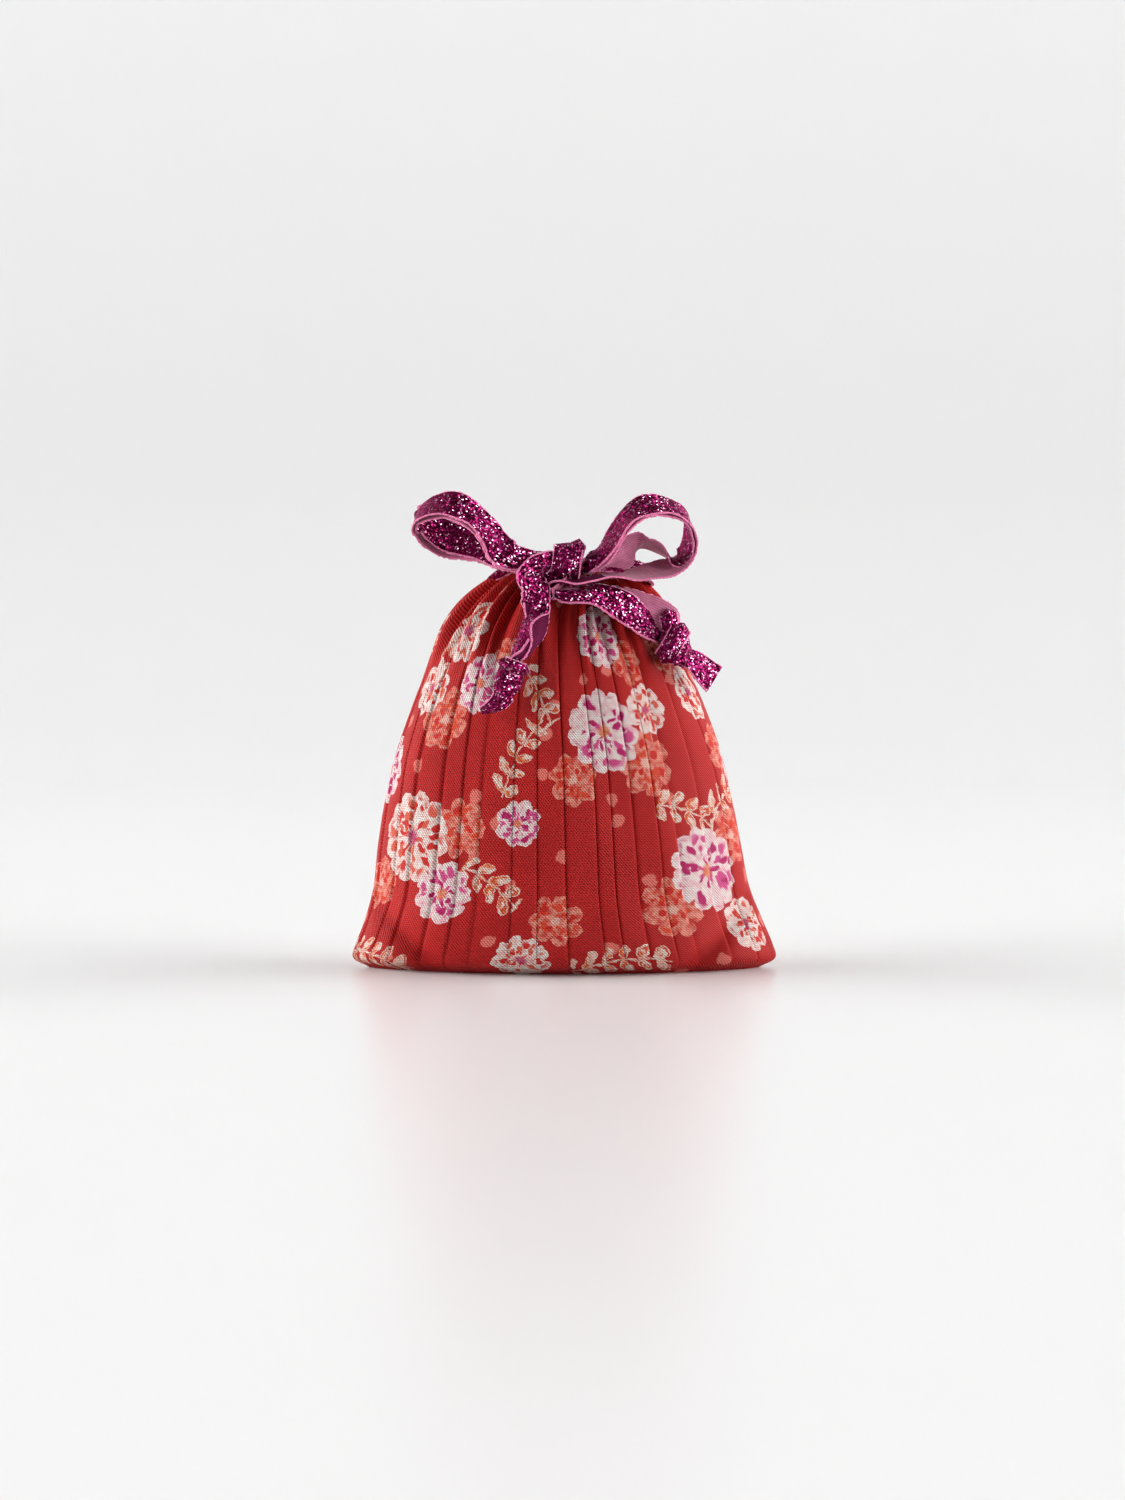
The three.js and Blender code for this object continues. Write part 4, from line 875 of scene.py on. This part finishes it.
    # The twill's painted shade and light: the colour scaled down in the valleys and up on the ridges
    depth = add_node(tree, "ShaderNodeMapRange", {"Value": weave, "From Min": -1.5, "From Max": 1.5,
                                                  "To Min": TWILL_PAINTED_SHADE, "To Max": TWILL_PAINTED_LIGHT})
    shaded = add_node(tree, "ShaderNodeVectorMath", {0: colour, "Scale": depth.outputs[0]},
                      operation="SCALE")
    tree.links.new(shaded.outputs[0], shader.inputs["Base Color"])
    bump = add_node(tree, "ShaderNodeBump", {"Height": weave, "Distance": TWILL_HEIGHT, "Strength": 0.8})
    tree.links.new(bump.outputs[0], shader.inputs["Normal"])
    shader.inputs["Roughness"].default_value = 0.5
    shader.inputs["Specular IOR Level"].default_value = 0.09
    return material


pouch = pouch_mesh("pleated_pouch")
pouch.data.materials.append(cloth_material())
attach(pouch, "root")
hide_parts("pouch_body")


# The floor
# A white paper sweep: flat under the pouch, curving up behind it, so that no horizon shows.
SWEEP_HALF_WIDTH = 2.5
SWEEP_FRONT = -2.2
SWEEP_BACK = 1.2
SWEEP_RADIUS = 0.8
SWEEP_TOP = 2.4
PAPER_HEX = "#e6e6e6"


def sweep_mesh(name):
    """A profile of floor, quarter circle and wall, drawn out sideways."""
    bend = np.linspace(0, np.pi / 2, 25)
    y = np.concatenate([[SWEEP_FRONT], SWEEP_BACK + SWEEP_RADIUS * np.sin(bend),
                        [SWEEP_BACK + SWEEP_RADIUS]])
    z = np.concatenate([[0], SWEEP_RADIUS * (1 - np.cos(bend)), [SWEEP_TOP]])
    x = np.array([-SWEEP_HALF_WIDTH, SWEEP_HALF_WIDTH])
    points = np.stack([np.broadcast_to(x, (len(y), 2)), np.repeat(y[:, None], 2, axis=1),
                       np.repeat(z[:, None], 2, axis=1)], axis=-1)
    r = np.arange(len(y) - 1)
    quads = np.stack([2 * r, 2 * r + 1, 2 * r + 3, 2 * r + 2], axis=-1)
    mesh = bpy.data.meshes.new(name)
    mesh.from_pydata(points.reshape(-1, 3).tolist(), [], quads.tolist())
    mesh.polygons.foreach_set("use_smooth", np.ones(len(mesh.polygons), bool))
    piece = bpy.data.objects.new(name, mesh)
    bpy.context.scene.collection.objects.link(piece)
    return piece


floor = sweep_mesh("paper_sweep")
paper, _, paper_shader = new_material("white paper")
paper_shader.inputs["Base Color"].default_value = linear(PAPER_HEX)
paper_shader.inputs["Roughness"].default_value = 0.3
paper_shader.inputs["Specular IOR Level"].default_value = 0.5
floor.data.materials.append(paper)


# The light
# A light tent: the room glows from its left and right sides and is dim in front, behind and above,
# so the pouch's sides are brighter than its front, and the floor and the sweep are evenly lit.
SIDE_GLOW = 6.9
FRONT_GLOW = 0.06
GLOW_STARTS, GLOW_FULL = 0.66, 0.82
world = bpy.data.worlds.new("light tent")
world.use_nodes = True
tent = world.node_tree
direction = add_node(tent, "ShaderNodeTexCoord").outputs["Generated"]
sideways = add_node(tent, "ShaderNodeSeparateXYZ", {"Vector": direction})
aside = add_node(tent, "ShaderNodeMath", {0: sideways.outputs["X"]}, operation="ABSOLUTE")
glow = add_node(tent, "ShaderNodeMapRange", {"Value": aside.outputs[0], "From Min": GLOW_STARTS,
                                             "From Max": GLOW_FULL, "To Min": FRONT_GLOW,
                                             "To Max": SIDE_GLOW}, interpolation_type="SMOOTHSTEP")
background = tent.nodes["Background"]
background.inputs["Color"].default_value = linear("#ffffff")
tent.links.new(glow.outputs[0], background.inputs["Strength"])
bpy.context.scene.world = world
bpy.context.scene.view_settings.view_transform = "Standard"
